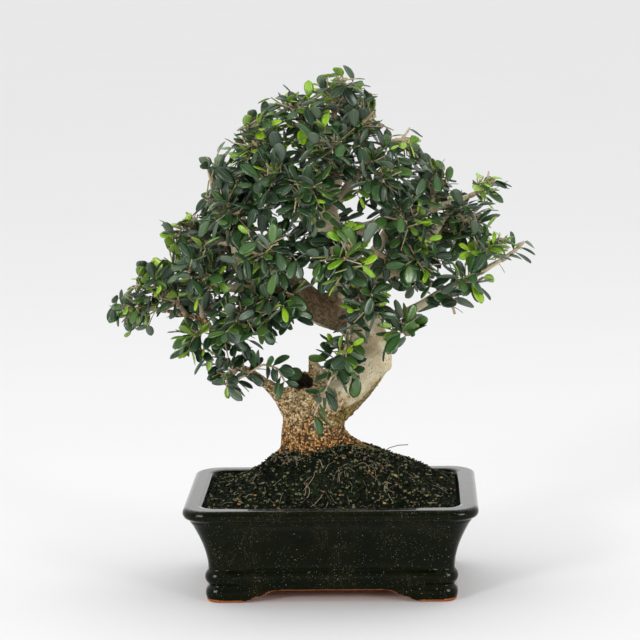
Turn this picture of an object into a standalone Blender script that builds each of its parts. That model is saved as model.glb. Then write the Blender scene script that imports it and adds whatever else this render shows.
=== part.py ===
"""An olive bonsai in a glazed tray pot.

The model is in metres with +Z up and the pot's front towards -Y. The sizes below are in millimetres.
Positions are taken from the centre of the pot on the surface that it stands on, and at() shifts them
so that the origin lies under the middle of the whole tree.

The pieces are the pot, two drain screens, the soil, the trunk with its boughs, and a leafy spray for
each branchlet. The sprays grow by one rule with a seeded draw, and none of them touches another."""

import math
import random

import bmesh
import bpy
import numpy as np
from mathutils import Matrix, Vector
from mathutils.bvhtree import BVHTree

MM = 0.001
GAP = 0.35
POT_AT = (4.4, -5.5)

# The pot
POT_HALF_LENGTH = 125.0
POT_HALF_DEPTH = 93.0
POT_HEIGHT = 83.0
RIM_CORNER = 22.0
CORNER_STEPS = 3
POT_FLOOR = 17.0
POT_OUTSIDE = [
    (20.4, 0.0), (18.6, 2.5), (18.3, 12.2), (20.4, 14.9), (17.9, 17.2), (17.9, 25.8), (20.4, 28.2),
    (19.6, 36.0), (17.2, 46.0), (13.4, 56.0), (8.4, 66.0), (2.0, 74.4), (0.0, 77.2), (0.2, 80.6), (2.6, POT_HEIGHT),
]
POT_INSIDE = [(14.0, POT_HEIGHT), (16.5, 80.5), (22.0, 64.0), (28.0, 44.0), (29.0, POT_FLOOR)]
ARCH = [(77.0, -1.0), (77.0, 0.6), (64.0, 4.6), (53.0, 9.2), (43.0, 11.0)]
SIDE_ARCH_NARROWER = 29.0
DRAIN_RADIUS = 9.0
DRAIN_SPACING = 90.0
SCREEN_SIDE = 27.0
SCREEN_THICK = 1.4
SCREEN_HOLE = 8.0
SCREEN_BAR = 3.0

# The soil
SOIL_AT_WALL = 79.5
MOUND_HEIGHT = 46.0
MOUND_BEND = (2.8, 2.2)
SOIL_RINGS = (0.95, 0.86, 0.75, 0.64, 0.54, 0.42, 0.3, 0.16)
MOUND_HALF = (100.0, 76.0)
HOLE_TOP = 138.0
HOLE_ROOM = 0.85
SOIL_SPANS = 3
LUMP = 1.8

# The trunk, as thick limbs that grow into each other: x, y, z and radius of each point
LIMBS = [
    [(-15, 1, 74, 24), (-16, 0, 100, 30), (-16, 0, 118, 29), (-16, 0, 138, 27), (-15, 0, 156, 25.5)],
    [(-14, 0, 154, 25), (2, 2, 166, 23), (20, 3, 180, 20.5), (31, 4, 196, 19.5), (32, 4, 213, 18),
     (22, 3, 230, 16.5), (14, 2, 250, 14), (11, 2, 272, 12), (5, 1, 300, 9.5)],
    [(20, 0, 234, 16), (-4, -5, 240, 15), (-27, -9, 251, 11.5), (-46, -13, 263, 8)],
    [(-24, -2, 156, 18), (-24, -4, 172, 13), (-17, -6, 182, 7)],
    [(-30, 0, 152, 15), (-44, -3, 166, 7.5), (-56, -6, 177, 5.5)],
    [(22, 1, 186, 15), (38, -1, 186, 11)],
    [(2, -2, 128, 13), (20, -5, 119, 11), (36, -7, 110, 8), (48, -8, 100, 5)],
    [(-28, -8, 122, 14), (-40, -16, 111, 10), (-50, -24, 99, 6)],
    [(-12, 14, 122, 13), (-8, 30, 110, 10), (-4, 42, 98, 6)],
]
KNEE = [(28, 1, 188, 14), (43, -1, 182, 9), (49, -1, 179, 5)]
TRUNK_VOXEL = 2.6
TRUNK_SMOOTHING = 7
TRUNK_TRIANGLES = 720
CUT_STUB = [(-16, -6, 178, 6), (-15.5, -6, 190, 3.4), (-15, -6, 201, 3.0)]
HOLLOW_AT = (-26, -17, 178)
HOLLOW_SIZE = (6.5, 9, 5)

# The boughs, as thinner limbs that start inside the trunk or inside another bough
BOUGHS = {
    "crown": [(6, 1, 294, 10), (0, 1, 318, 8), (0, 3, 346, 6.4), (6, 2, 374, 4.8), (6, 0, 400, 3.2)],
    "low_left": [(-50, -5, 172, 6.2), (-71, -9, 188, 4.6), (-88, -12, 196, 4.0), (-99, -14, 208, 3.7),
                 (-105, -14, 232, 3.2), (-140, -13, 242, 2.4)],
    "left": [(-40, -12, 260, 7.4), (-62, -11, 268, 6.0), (-78, -7, 280, 5.2), (-80, -5, 296, 4.4), (-89, -1, 316, 3.4)],
    "front_left": [(-42, -13, 261, 6), (-62, -30, 262, 4.6), (-86, -46, 266, 3.4)],
    "upper_left": [(2, 0, 304, 6.4), (-18, -6, 318, 5.4), (-28, -10, 338, 4.6), (-48, -12, 366, 3.2)],
    "right": [(10, 0, 258, 8.6), (30, -5, 265, 7.4), (56, -9, 277, 6.0), (84, -3, 300, 4.2), (98, 2, 318, 3.2)],
    "right_low": [(54, -8, 276, 5.0), (72, -14, 269, 4.2), (90, -18, 263, 3.2)],
    "long_right": [(2, -6, 256, 5.0), (18, -18, 246, 4.4), (43, -24, 239, 4.2), (66, -26, 241, 4.0), (98, -26, 259, 3.5),
                   (122, -24, 271, 3.0), (146, -23, 284, 2.2)],
    "upper_right": [(4, 1, 300, 6.4), (28, 4, 309, 5.4), (58, 2, 317, 4.6), (94, -2, 328, 3.4), (120, -4, 337, 2.3)],
    "top_right": [(0, 2, 326, 5.6), (14, -9, 342, 4.8), (24, -13, 356, 4.2), (46, -12, 380, 2.8)],
    "back_right": [(14, 6, 254, 7.4), (26, 30, 270, 5.8), (42, 56, 288, 4.4), (52, 76, 306, 3.2)],
    "back_left": [(-6, 2, 243, 7.4), (-28, 28, 260, 5.8), (-52, 52, 278, 4.4), (-70, 70, 298, 3.2)],
    "back": [(5, 3, 292, 6.4), (4, 30, 312, 5.0), (0, 54, 334, 3.6)],
    "back_top": [(1, 3, 336, 5.2), (10, 22, 356, 4.2), (14, 38, 378, 3.0)],
    "front": [(12, -4, 252, 6.0), (16, -28, 264, 4.8), (14, -52, 280, 3.4)],
    "front_mid": [(-24, -9, 249, 6.0), (-28, -32, 264, 4.6), (-36, -54, 284, 3.2)],
    "front_top": [(2, 0, 312, 5.6), (-6, -24, 332, 4.2), (-12, -44, 352, 3.0)],
}

# The sprays: bough, share of the way along it, middle of the spray and how far it spreads
SPRAYS = {
    "far_left": ("low_left", 1.0, (-170, -14, 243), 20),
    "left_edge": ("low_left", 0.86, (-156, -24, 264), 22),
    "left_bright": ("low_left", 0.74, (-128, -10, 276), 22),
    "left_under": ("low_left", 0.66, (-116, -24, 214), 16),
    "left_hang": ("low_left", 0.30, (-84, -22, 184), 17),
    "left_inner": ("low_left", 0.56, (-86, -30, 226), 22),
    "left_behind": ("low_left", 0.72, (-124, 16, 252), 24),
    "left_tip": ("left", 0.78, (-127, 4, 308), 23),
    "left_shoulder": ("left", 1.0, (-98, -2, 355), 24),
    "left_back": ("left", 0.55, (-104, 30, 300), 26),
    "left_face": ("front_left", 1.0, (-106, -58, 284), 22),
    "left_low_face": ("front_left", 0.62, (-74, -52, 242), 22),
    "left_cheek": ("left", 0.9, (-80, -42, 328), 25),
    "crown_left": ("upper_left", 1.0, (-66, -14, 390), 26),
    "crown_left_back": ("upper_left", 0.8, (-58, 24, 372), 26),
    "brow_left": ("upper_left", 0.6, (-44, -46, 358), 25),
    "crown_tip": ("crown", 1.0, (8, -4, 432), 24),
    "crown_west": ("crown", 0.8, (-28, -8, 412), 25),
    "crown_east": ("crown", 0.86, (34, -4, 404), 22),
    "crown_back": ("back_top", 1.0, (14, 52, 396), 26),
    "crown_face": ("front_top", 0.72, (4, -46, 386), 26),
    "brow": ("front_top", 1.0, (-16, -70, 334), 26),
    "top_right_tip": ("top_right", 1.0, (68, -12, 382), 23),
    "brow_right": ("top_right", 0.7, (44, -44, 352), 25),
    "right_shoulder": ("upper_right", 0.72, (94, 8, 348), 24),
    "right_tip": ("upper_right", 1.0, (128, -6, 346), 18),
    "right_face": ("upper_right", 0.5, (62, -34, 318), 25),
    "right_end": ("right", 1.0, (112, -6, 310), 22),
    "right_back": ("right", 0.85, (102, 36, 306), 26),
    "right_cheek": ("right", 0.6, (72, -38, 285), 23),
    "right_low": ("right_low", 1.0, (96, -34, 252), 19),
    "long_tip": ("long_right", 1.0, (151, -23, 288), 13),
    "long_upright": ("long_right", 0.88, (136, -20, 298), 18),
    "long_mid": ("long_right", 0.76, (116, -40, 268), 18),
    "long_near": ("long_right", 0.36, (64, -38, 228), 17),
    "back_right_end": ("back_right", 1.0, (64, 82, 322), 27),
    "back_right_low": ("back_right", 0.62, (66, 72, 274), 26),
    "back_left_end": ("back_left", 1.0, (-78, 74, 322), 27),
    "back_left_low": ("back_left", 0.62, (-76, 66, 270), 26),
    "back_end": ("back", 1.0, (-4, 78, 348), 27),
    "back_low": ("back", 0.5, (-6, 72, 296), 26),
    "face": ("front", 1.0, (14, -78, 292), 26),
    "face_low": ("front", 0.62, (34, -52, 252), 20),
    "face_left": ("front_mid", 1.0, (-48, -74, 296), 26),
    "face_left_low": ("front_mid", 0.6, (-44, -52, 246), 22),
    "trunk_drop": ("long_right", 0.14, (6, -36, 196), 20),
}
HEART = (0, 0, 270)
SEED = 11

# How a spray grows
AXIS_STEPS = 4
AXIS_RADII = (2.2, 1.0)
TWIG_STEPS = 2
TWIG_RADII = (1.35, 1.0)
TWIG_SPACING = 10.5
TWIG_LEAN = 52.0
SHORTEST_TWIG = 9.0
MAIN_TWIGS = 2
FULL_SPREAD = 24.0
TIP_REACH = 0.35
TWIG_REACH = (0.5, 0.85)
ROOT_ROOM = 5.2
WOOD = -1
LEAF_LEAN = (48.0, 74.0)
LEAF_LENGTH = (15.0, 22.0)
LEAF_WIDTH = (0.40, 0.50)
LEAF_THICK = 0.8
CLEAR = 0.6


def at(x, y, z):
    """A place given in millimetres from the pot's centre, in metres from the origin."""
    return Vector((x + POT_AT[0], y + POT_AT[1], z)) * MM


class Room:
    """The space that wood and leaves already take, as tapered capsules, each with its owner."""

    def __init__(self):
        self.ends = np.zeros((8192, 2, 3))
        self.radii = np.zeros((8192, 2))
        self.owners = np.zeros(8192, int)
        self.used = 0

    def add(self, a, b, radii, owner):
        self.ends[self.used] = a, b
        self.radii[self.used] = radii
        self.owners[self.used] = owner
        self.used += 1

    def margin(self, a, b, radius, skip=()):
        """How far a new capsule stays from all those whose owner isn't in skip."""
        taken = np.flatnonzero(~np.isin(self.owners[:self.used], list(skip)))
        if not len(taken):
            return math.inf
        p, along = self.ends[taken, 0], self.ends[taken, 1] - self.ends[taken, 0]
        length = np.maximum((along * along).sum(1), 1e-12)
        least = math.inf
        for share in np.linspace(0, 1, 6):
            spot = np.array(a) * (1 - share) + np.array(b) * share
            t = np.clip(((spot - p) * along).sum(1) / length, 0, 1)
            away = np.linalg.norm(p + along * t[:, None] - spot, axis=1)
            thick = self.radii[taken, 0] * (1 - t) + self.radii[taken, 1] * t
            least = min(least, float((away - thick).min()) - radius)
        return least


def walk(points, share):
    """The place, direction and radius a share of the way along a limb."""
    spots = [Vector(p[:3]) for p in points]
    lengths = [(b - a).length for a, b in zip(spots, spots[1:])]
    left = share * sum(lengths)
    for i, length in enumerate(lengths):
        if left <= length or i == len(lengths) - 1:
            t = min(left / length, 1.0)
            radius = points[i][3] * (1 - t) + points[i + 1][3] * t
            return spots[i].lerp(spots[i + 1], t), (spots[i + 1] - spots[i]).normalized(), radius
        left -= length


def bowed(start, control, end, steps):
    """Points along a curve that leaves start for control and bends to end."""
    found = []
    for i in range(steps + 1):
        t = i / steps
        found.append(start * (1 - t) ** 2 + control * (2 * t * (1 - t)) + end * t**2)
    return found


def side_of(direction, turn):
    """A direction square to a shoot's own, turned round the shoot."""
    start = direction.cross(Vector((0.13, 0.21, 1.0))).normalized()
    return Matrix.Rotation(turn, 3, direction) @ start


def run_margin(room, points, radius, skip=()):
    return min(room.margin(a, b, radius, skip) for a, b in zip(points, points[1:]))


def grow_axis(room, draw, plan, owner):
    """The spray's own branchlet, bent another way until it keeps clear of everything."""
    bough, share, centre, spread = plan
    middle, direction, radius = walk(BOUGHS[bough], share)
    centre = Vector(centre)
    out = ((centre - middle).normalized() + (centre - Vector(HEART)).normalized()).normalized()
    best, best_margin = None, -math.inf
    for attempt in range(40):
        sway = Vector([draw.uniform(-1, 1) for _ in range(3)]) * (1.0 + 0.5 * attempt)
        tip = centre + out * spread * TIP_REACH + sway
        if share < 1.0:
            across = tip - middle
            side = (across - direction * across.dot(direction) + sway).normalized()
            start = middle + side * (radius - 1.0)
            lead = (side + direction * 0.45).normalized()
        else:
            start, lead = middle, direction
        control = start + lead * 0.45 * (tip - start).length
        points = bowed(start, control, tip, AXIS_STEPS)
        onward = points[1] - start
        first = start + onward.normalized() * min(0.9 * onward.length, ROOT_ROOM + (0.0 if share < 1.0 else radius))
        margin = run_margin(room, [first, *points[1:]], AXIS_RADII[0] + CLEAR)
        if margin > best_margin:
            best, best_margin = points, margin
        if margin > 0:
            break
    for a, b in zip(best, best[1:]):
        room.add(a, b, (AXIS_RADII[0], AXIS_RADII[0]), owner)
    return best


def grow_twigs(room, draw, axis, centre, spread, owner):
    """Side twigs in opposite pairs, each pair turned a quarter round from the last."""
    spots = [(p.x, p.y, p.z, 1.0) for p in axis]
    length = sum((b - a).length for a, b in zip(axis, axis[1:]))
    twigs, turn = [], draw.uniform(0, math.pi)
    at_mm = max(8.0, length - 1.9 * spread)
    while at_mm < length - 5.0:
        place, direction, _ = walk(spots, at_mm / length)
        for hand in (0, math.pi):
            side = side_of(direction, turn + hand + draw.uniform(-0.35, 0.35))
            lean = math.radians(TWIG_LEAN + draw.uniform(-10, 10))
            way = (direction * math.cos(lean) + side * math.sin(lean)).normalized()
            reach = spread * draw.uniform(*TWIG_REACH) * (1.1 - 0.45 * at_mm / length)
            while reach > SHORTEST_TWIG:
                tip = place + way * reach + Vector((0, 0, 0.22 * reach))
                points = bowed(place, place + way * reach * 0.5, tip, TWIG_STEPS)
                if run_margin(room, points, TWIG_RADII[0] + CLEAR, (owner,)) > 0:
                    twigs.append(points)
                    break
                reach *= 0.75
        turn += math.pi / 2 + draw.uniform(-0.3, 0.3)
        at_mm += TWIG_SPACING * draw.uniform(0.85, 1.2)
    for points in twigs:
        for a, b in zip(points, points[1:]):
            room.add(a, b, (TWIG_RADII[0], TWIG_RADII[0]), owner)
    return twigs


def leaf_on(draw, place, direction, side, lean, size):
    """A leaf's root, its way out, its face's direction, length and width, and a shade from 0 to 1."""
    way = (direction * math.cos(lean) + side * math.sin(lean)).normalized()
    place = place + side * 0.35
    sky = Vector((draw.uniform(-0.5, 0.5), draw.uniform(-0.5, 0.5), 1.0))
    across = way.cross(sky).normalized()
    face = across.cross(way).normalized()
    length = draw.uniform(*LEAF_LENGTH) * size
    return place, way, face, length, length * draw.uniform(*LEAF_WIDTH), draw.random()


def leaf_fits(room, leaf, room_share, skip):
    place, way, _, length, width, _ = leaf
    middle = place + way * length * 0.3
    blade = room.margin(middle, place + way * length * 0.85, width * room_share, skip)
    return min(blade, room.margin(place, middle, width * 0.3, skip)) > 0


def keep_leaf(room, leaf, owner):
    place, way, _, length, width, _ = leaf
    room.add(place + way * length * 0.3, place + way * length * 0.85, (width * 0.5, width * 0.5), owner)


def grow_main_leaves(room, draw, shoots, owner, full):
    """A pair at each shoot's tip and, on a full spray, one lower down, all with room to themselves."""
    leaves = []
    for number, points in enumerate(shoots):
        on_axis = [AXIS_STEPS - 1] if number == 0 and full else []
        for index in [len(points) - 1, *on_axis]:
            direction = (points[index] - points[index - 1]).normalized()
            place = points[index] - direction * 1.2
            turn = draw.uniform(0, math.pi)
            for hand in (0, math.pi):
                for attempt in range(9):
                    side = side_of(direction, turn + hand + attempt * 0.7)
                    lean = math.radians(draw.uniform(*LEAF_LEAN) - 4 * attempt)
                    leaf = leaf_on(draw, place, direction, side, lean, 1.0)
                    if leaf_fits(room, leaf, 0.52, (owner,)) and apart(leaf, leaves):
                        leaves.append(leaf)
                        break
    for leaf in leaves:
        keep_leaf(room, leaf, owner)
    return leaves


def apart(leaf, leaves):
    """Whether a leaf's tip half stays clear of those of its own spray."""
    middle = leaf[0] + leaf[1] * leaf[3] * 0.62
    return all((middle - (o[0] + o[1] * o[3] * 0.62)).length > 0.5 * (leaf[4] + o[4]) + 1.5 for o in leaves)


def grow_tree():
    """Each spray's branchlet, its main twigs, its other twigs and its main leaves, in millimetres."""
    room = Room()
    for points in [*LIMBS, CUT_STUB, *BOUGHS.values()]:
        for a, b in zip(points, points[1:]):
            room.add(a[:3], b[:3], (a[3], b[3]), WOOD)
    grown = {}
    for number, (name, plan) in enumerate(SPRAYS.items()):
        draw = random.Random(SEED * 1000 + number)
        axis = grow_axis(room, draw, plan, number)
        grown[name] = {"axis": axis, "draw": draw, "owner": number, "plan": plan}
    for name, spray in grown.items():
        centre, spread = spray["plan"][2:]
        twigs = grow_twigs(room, spray["draw"], spray["axis"], centre, spread, spray["owner"])
        twigs.sort(key=lambda t: -(t[-1] - t[0]).length)
        spray["twigs"] = twigs
    for name, spray in grown.items():
        shoots = [spray["axis"], *spray["twigs"][:MAIN_TWIGS]]
        full = spray["plan"][3] >= FULL_SPREAD
        spray["leaves"] = grow_main_leaves(room, spray["draw"], shoots, spray["owner"], full)
    return grown



def fresh_collections():
    """An empty scene with one collection for the pieces and one for the cutters."""
    for thing in list(bpy.data.objects):
        bpy.data.objects.remove(thing, do_unlink=True)
    found = []
    for name in ("olive_bonsai", "cutters"):
        collection = bpy.data.collections.new(name)
        bpy.context.scene.collection.children.link(collection)
        found.append(collection)
    return found


def paint(thing, colour, roughness, coat=0.0):
    material = bpy.data.materials.new(thing.name)
    material.use_nodes = True
    shader = material.node_tree.nodes["Principled BSDF"]
    shader.inputs["Base Color"].default_value = (*colour, 1.0)
    shader.inputs["Roughness"].default_value = roughness
    shader.inputs["Metallic"].default_value = 0.0
    shader.inputs["Coat Weight"].default_value = coat
    thing.data.materials.clear()
    thing.data.materials.append(material)


def object_from(name, bm, collection):
    mesh = bpy.data.meshes.new(name)
    bmesh.ops.recalc_face_normals(bm, faces=bm.faces)
    bm.to_mesh(mesh)
    bm.free()
    thing = bpy.data.objects.new(name, mesh)
    collection.objects.link(thing)
    return thing


def tube(name, points, collection, resolution=0):
    """A limb through points of x, y, z and radius, as a curve with filled caps made into a mesh."""
    curve = bpy.data.curves.new(name, "CURVE")
    curve.dimensions = "3D"
    curve.bevel_depth = MM
    curve.bevel_resolution = resolution
    curve.use_fill_caps = True
    spline = curve.splines.new("POLY")
    spline.points.add(len(points) - 1)
    for spot, (x, y, z, radius) in zip(spline.points, points):
        spot.co = (*at(x, y, z), 1.0)
        spot.radius = radius
    shape = bpy.data.objects.new(name, curve)
    collection.objects.link(shape)
    bpy.context.view_layer.update()
    seen = shape.evaluated_get(bpy.context.evaluated_depsgraph_get())
    bm = bmesh.new()
    bm.from_mesh(bpy.data.meshes.new_from_object(seen))
    bmesh.ops.remove_doubles(bm, verts=bm.verts, dist=0.00001)
    bpy.data.objects.remove(shape, do_unlink=True)
    return object_from(name, bm, collection)


def applied(thing):
    """Replaces an object's mesh with what its modifiers make of it."""
    bpy.context.view_layer.update()
    seen = thing.evaluated_get(bpy.context.evaluated_depsgraph_get())
    mesh = bpy.data.meshes.new_from_object(seen)
    thing.modifiers.clear()
    thing.data = mesh


def fuse(thing, collection):
    """Joins every object of a collection to a piece, then removes them."""
    union = thing.modifiers.new("union", "BOOLEAN")
    union.operation = "UNION"
    union.solver = "MANIFOLD"
    union.operand_type = "COLLECTION"
    union.collection = collection
    applied(thing)
    for part in list(collection.objects):
        bpy.data.objects.remove(part, do_unlink=True)
    bpy.data.collections.remove(collection)


def cut(thing, cutter):
    cutter.hide_render = True
    cutter.display_type = "WIRE"
    difference = thing.modifiers.new(cutter.name, "BOOLEAN")
    difference.operation = "DIFFERENCE"
    difference.solver = "MANIFOLD"
    difference.object = cutter


def ring(bm, inset, height, spans=1):
    """A rounded rectangle of points, so far in from the pot's rim and so far up, with its sides in spans."""
    radius = max(RIM_CORNER - inset, 6.0)
    across, deep = POT_HALF_LENGTH - inset - radius, POT_HALF_DEPTH - inset - radius
    found = []
    for quarter, (sx, sy) in enumerate(((1, 1), (-1, 1), (-1, -1), (1, -1))):
        for step in range(CORNER_STEPS + 1):
            angle = math.radians(90 * (quarter + step / CORNER_STEPS))
            x, y = sx * across + radius * math.cos(angle), sy * deep + radius * math.sin(angle)
            found.append(Vector((x, y, height)))
    places = []
    for i, place in enumerate(found):
        onward = found[(i + 1) % len(found)]
        parts = spans if i % (CORNER_STEPS + 1) == CORNER_STEPS else 1
        places += [place.lerp(onward, j / parts) for j in range(parts)]
    return [bm.verts.new(at(*place)) for place in places]


def loft(bm, rings):
    for low, high in zip(rings, rings[1:]):
        for i in range(len(low)):
            j = (i + 1) % len(low)
            bm.faces.new((low[i], low[j], high[j], high[i]))
    bm.faces.new(reversed(rings[0]))
    bm.faces.new(rings[-1])


def arch_cutter(name, narrower, along_x, collection):
    """The space under the pot between two feet, as an outline drawn out through the whole pot."""
    bm = bmesh.new()
    half = [(x - narrower, z) for x, z in ARCH]
    outline = [*half, *((-x, z) for x, z in reversed(half))]
    corners = [bm.verts.new(at(0, x, z) if along_x else at(x, 0, z)) for x, z in outline]
    face = bm.faces.new(corners)
    reach = Vector((1, 0, 0)) if along_x else Vector((0, 1, 0))
    moved = bmesh.ops.extrude_face_region(bm, geom=[face])["geom"]
    far = [v for v in moved if isinstance(v, bmesh.types.BMVert)]
    bmesh.ops.translate(bm, verts=far, vec=reach * 2 * POT_HALF_LENGTH * 1.2 * MM)
    bmesh.ops.translate(bm, verts=bm.verts, vec=-reach * POT_HALF_LENGTH * 1.2 * MM)
    return object_from(name, bm, collection)


def box(name, centre, size, collection):
    bm = bmesh.new()
    bmesh.ops.create_cube(bm, size=1.0)
    bmesh.ops.scale(bm, vec=Vector(size) * MM, verts=bm.verts)
    bmesh.ops.translate(bm, vec=at(*centre), verts=bm.verts)
    return object_from(name, bm, collection)


def make_pot(pieces, cutters):
    bm = bmesh.new()
    loft(bm, [ring(bm, *spot) for spot in (*POT_OUTSIDE, *POT_INSIDE)])
    pot = object_from("pot", bm, pieces)
    cut(pot, arch_cutter("arch_front", 0.0, False, cutters))
    cut(pot, arch_cutter("arch_side", SIDE_ARCH_NARROWER, True, cutters))
    for name, x in (("drain_left", -DRAIN_SPACING / 2), ("drain_right", DRAIN_SPACING / 2)):
        bm = bmesh.new()
        bmesh.ops.create_cone(bm, cap_ends=True, segments=10, radius1=DRAIN_RADIUS * MM,
                              radius2=DRAIN_RADIUS * MM, depth=2 * POT_FLOOR * MM,
                              matrix=Matrix.Translation(at(x, 0, POT_FLOOR / 2)))
        cut(pot, object_from(name, bm, cutters))
    paint(pot, (0.006, 0.010, 0.008), 0.08, 1.0)
    return pot


def mesh_sheet(name, centre, collection):
    """A square sheet with square holes: a grid of bars and holes, with the holes left out."""
    outer, far, near = SCREEN_SIDE / 2, SCREEN_BAR / 2 + SCREEN_HOLE, SCREEN_BAR / 2
    lines = [-outer, -far, -near, near, far, outer]
    bm = bmesh.new()
    bmesh.ops.create_grid(bm, x_segments=5, y_segments=5, size=2.5)
    for v in bm.verts:
        v.co.x, v.co.y = lines[round(v.co.x + 2.5)], lines[round(v.co.y + 2.5)]
    holes = [f for f in bm.faces if all(near < abs(c) < far for c in f.calc_center_median()[:2])]
    bmesh.ops.delete(bm, geom=holes, context="FACES")
    moved = bmesh.ops.extrude_face_region(bm, geom=bm.faces[:], use_keep_orig=True)["geom"]
    upper = [v for v in moved if isinstance(v, bmesh.types.BMVert)]
    bmesh.ops.translate(bm, verts=upper, vec=(0, 0, SCREEN_THICK))
    bmesh.ops.scale(bm, vec=(MM, MM, MM), verts=bm.verts)
    bmesh.ops.translate(bm, verts=bm.verts, vec=at(centre[0], centre[1], centre[2] - SCREEN_THICK / 2))
    return object_from(name, bm, collection)


def make_screens(pieces, cutters):
    """A plastic mesh over each drain hole, and the flat space that each takes from the soil."""
    pockets = []
    middle = POT_FLOOR + GAP + SCREEN_THICK / 2
    for hand, x in (("left", -DRAIN_SPACING / 2), ("right", DRAIN_SPACING / 2)):
        screen = mesh_sheet(f"drain_screen_{hand}", (x, 0, middle), pieces)
        paint(screen, (0.02, 0.02, 0.021), 0.55)
        width = SCREEN_SIDE + 2 * GAP
        deep = 2 * (SCREEN_THICK + GAP)
        pockets.append(box(f"pocket_{hand}", (x, 0, POT_FLOOR + GAP), (width, width, deep), cutters))
    return pockets


def make_trunk(pieces, cutters):
    """Thick limbs run together under a smooth skin, with the boughs sunk into it."""
    whole = bmesh.new()
    for number, points in enumerate([*LIMBS, KNEE]):
        limb = tube(f"limb_{number}", points, cutters, resolution=2)
        whole.from_mesh(limb.data)
        bpy.data.objects.remove(limb, do_unlink=True)
    trunk = object_from("trunk", whole, pieces)
    skin = trunk.modifiers.new("skin", "REMESH")
    skin.mode = "VOXEL"
    skin.voxel_size = TRUNK_VOXEL * MM
    soften = trunk.modifiers.new("soften", "SMOOTH")
    soften.factor = 0.5
    soften.iterations = TRUNK_SMOOTHING
    applied(trunk)
    thin = trunk.modifiers.new("thin", "DECIMATE")
    thin.ratio = TRUNK_TRIANGLES / (2 * len(trunk.data.polygons))
    applied(trunk)
    bm = bmesh.new()
    bmesh.ops.create_icosphere(bm, subdivisions=1, radius=1.0)
    bmesh.ops.scale(bm, vec=Vector(HOLLOW_SIZE) * MM, verts=bm.verts)
    bmesh.ops.translate(bm, vec=at(*HOLLOW_AT), verts=bm.verts)
    hollow = object_from("hollow", bm, cutters)
    cut(trunk, hollow)
    applied(trunk)
    boughs = bpy.data.collections.new("boughs")
    bpy.context.scene.collection.children.link(boughs)
    for name, points in BOUGHS.items():
        tube(name, points, boughs, resolution=1)
    tube("cut_stub", CUT_STUB, boughs, resolution=1)
    fuse(trunk, boughs)
    paint(trunk, (0.36, 0.25, 0.14), 0.85)
    return trunk


def make_soil(trunk, pockets, pieces, cutters):
    """A mound that meets the pot's wall, with a plain hole where the trunk stands."""
    draw = random.Random(SEED)
    bm = bmesh.new()
    walls = [(inset + GAP, max(z, POT_FLOOR + GAP)) for inset, z in reversed(POT_INSIDE[2:])]
    rings = [ring(bm, *spot, SOIL_SPANS) for spot in walls]
    edge_inset = POT_INSIDE[1][0] + (POT_INSIDE[1][1] - SOIL_AT_WALL) * 0.35 + GAP
    rings.append(ring(bm, edge_inset, SOIL_AT_WALL, SOIL_SPANS))
    edge = [v.co.copy() for v in rings[-1]]
    middle = at(0, 0, SOIL_AT_WALL)
    for share in SOIL_RINGS:
        height = SOIL_AT_WALL + MOUND_HEIGHT * (1 - share ** MOUND_BEND[0]) ** MOUND_BEND[1]
        circle = []
        for corner in edge:
            square = middle.lerp(corner, share)
            way = (corner - middle).normalized()
            oval = middle + Vector((way.x * MOUND_HALF[0], way.y * MOUND_HALF[1], 0)) * share * MM
            place = square.lerp(oval, min(1.0, 2.4 * (1 - share)))
            place.z = (height + draw.uniform(-LUMP, LUMP)) * MM
            circle.append(bm.verts.new(place))
        rings.append(circle)
    loft(bm, rings)
    bmesh.ops.triangulate(bm, faces=bm.faces)
    soil = object_from("soil", bm, pieces)
    bm = bmesh.new()
    bm.from_mesh(trunk.data)
    everything = bm.verts[:] + bm.edges[:] + bm.faces[:]
    parted = bmesh.ops.bisect_plane(bm, geom=everything, plane_co=at(0, 0, HOLE_TOP),
                                    plane_no=(0, 0, 1), clear_outer=True)["geom_cut"]
    bmesh.ops.holes_fill(bm, edges=[e for e in parted if isinstance(e, bmesh.types.BMEdge)])
    hole = object_from("trunk_hole", bm, cutters)
    swell = hole.modifiers.new("swell", "DISPLACE")
    swell.strength = HOLE_ROOM * MM
    swell.mid_level = 0.0
    cut(soil, hole)
    for pocket in pockets:
        cut(soil, pocket)
    paint(soil, (0.012, 0.013, 0.009), 0.95)
    return soil


def leaf_shape():
    """A blade that is broadest past its middle, 1 long and 1 wide, and as thick as LEAF_THICK in millimetres."""
    bm = bmesh.new()
    bmesh.ops.create_circle(bm, cap_ends=True, segments=5, radius=1.0)
    for v in bm.verts:
        side = 0.0 if abs(v.co.x) < 0.1 else math.copysign(1.0, v.co.x)
        v.co.y = 0.0 if side == 0 else (0.42 if v.co.y > 0 else 0.88)
        v.co.x = side * (0.5 if v.co.y < 0.5 else 0.32)
        v.co = (v.co.y, v.co.x, LEAF_THICK / 2)
    moved = bmesh.ops.extrude_face_region(bm, geom=bm.faces[:], use_keep_orig=True)["geom"]
    under = [v for v in moved if isinstance(v, bmesh.types.BMVert)]
    bmesh.ops.translate(bm, verts=under, vec=(0, 0, -LEAF_THICK))
    bmesh.ops.recalc_face_normals(bm, faces=bm.faces)
    mesh = bpy.data.meshes.new("leaf")
    bm.to_mesh(mesh)
    bm.free()
    return mesh


def tapered(points, radii):
    last = len(points) - 1
    return [(*p, radii[0] + (radii[1] - radii[0]) * i / last) for i, p in enumerate(points)]


def seated(points, surface):
    """A branchlet's points with its root drawn out along it until it only just clears the bough."""
    spots = [(*p, 0.0) for p in points]
    lengths = [(b - a).length for a, b in zip(points, points[1:])]
    reach = 0.0
    while reach < 0.6 * sum(lengths):
        place, direction, _ = walk(spots, reach / sum(lengths))
        rim = [side_of(direction, math.radians(45 * i)) * AXIS_RADII[0] for i in range(8)]
        if all(outside(place + step, surface) for step in (Vector((0, 0, 0)), *rim)):
            break
        reach += 0.1
    while lengths[0] < reach + 1.0:
        reach -= lengths[0]
        points, lengths = points[1:], lengths[1:]
    return [place, *points[1:]]


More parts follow.
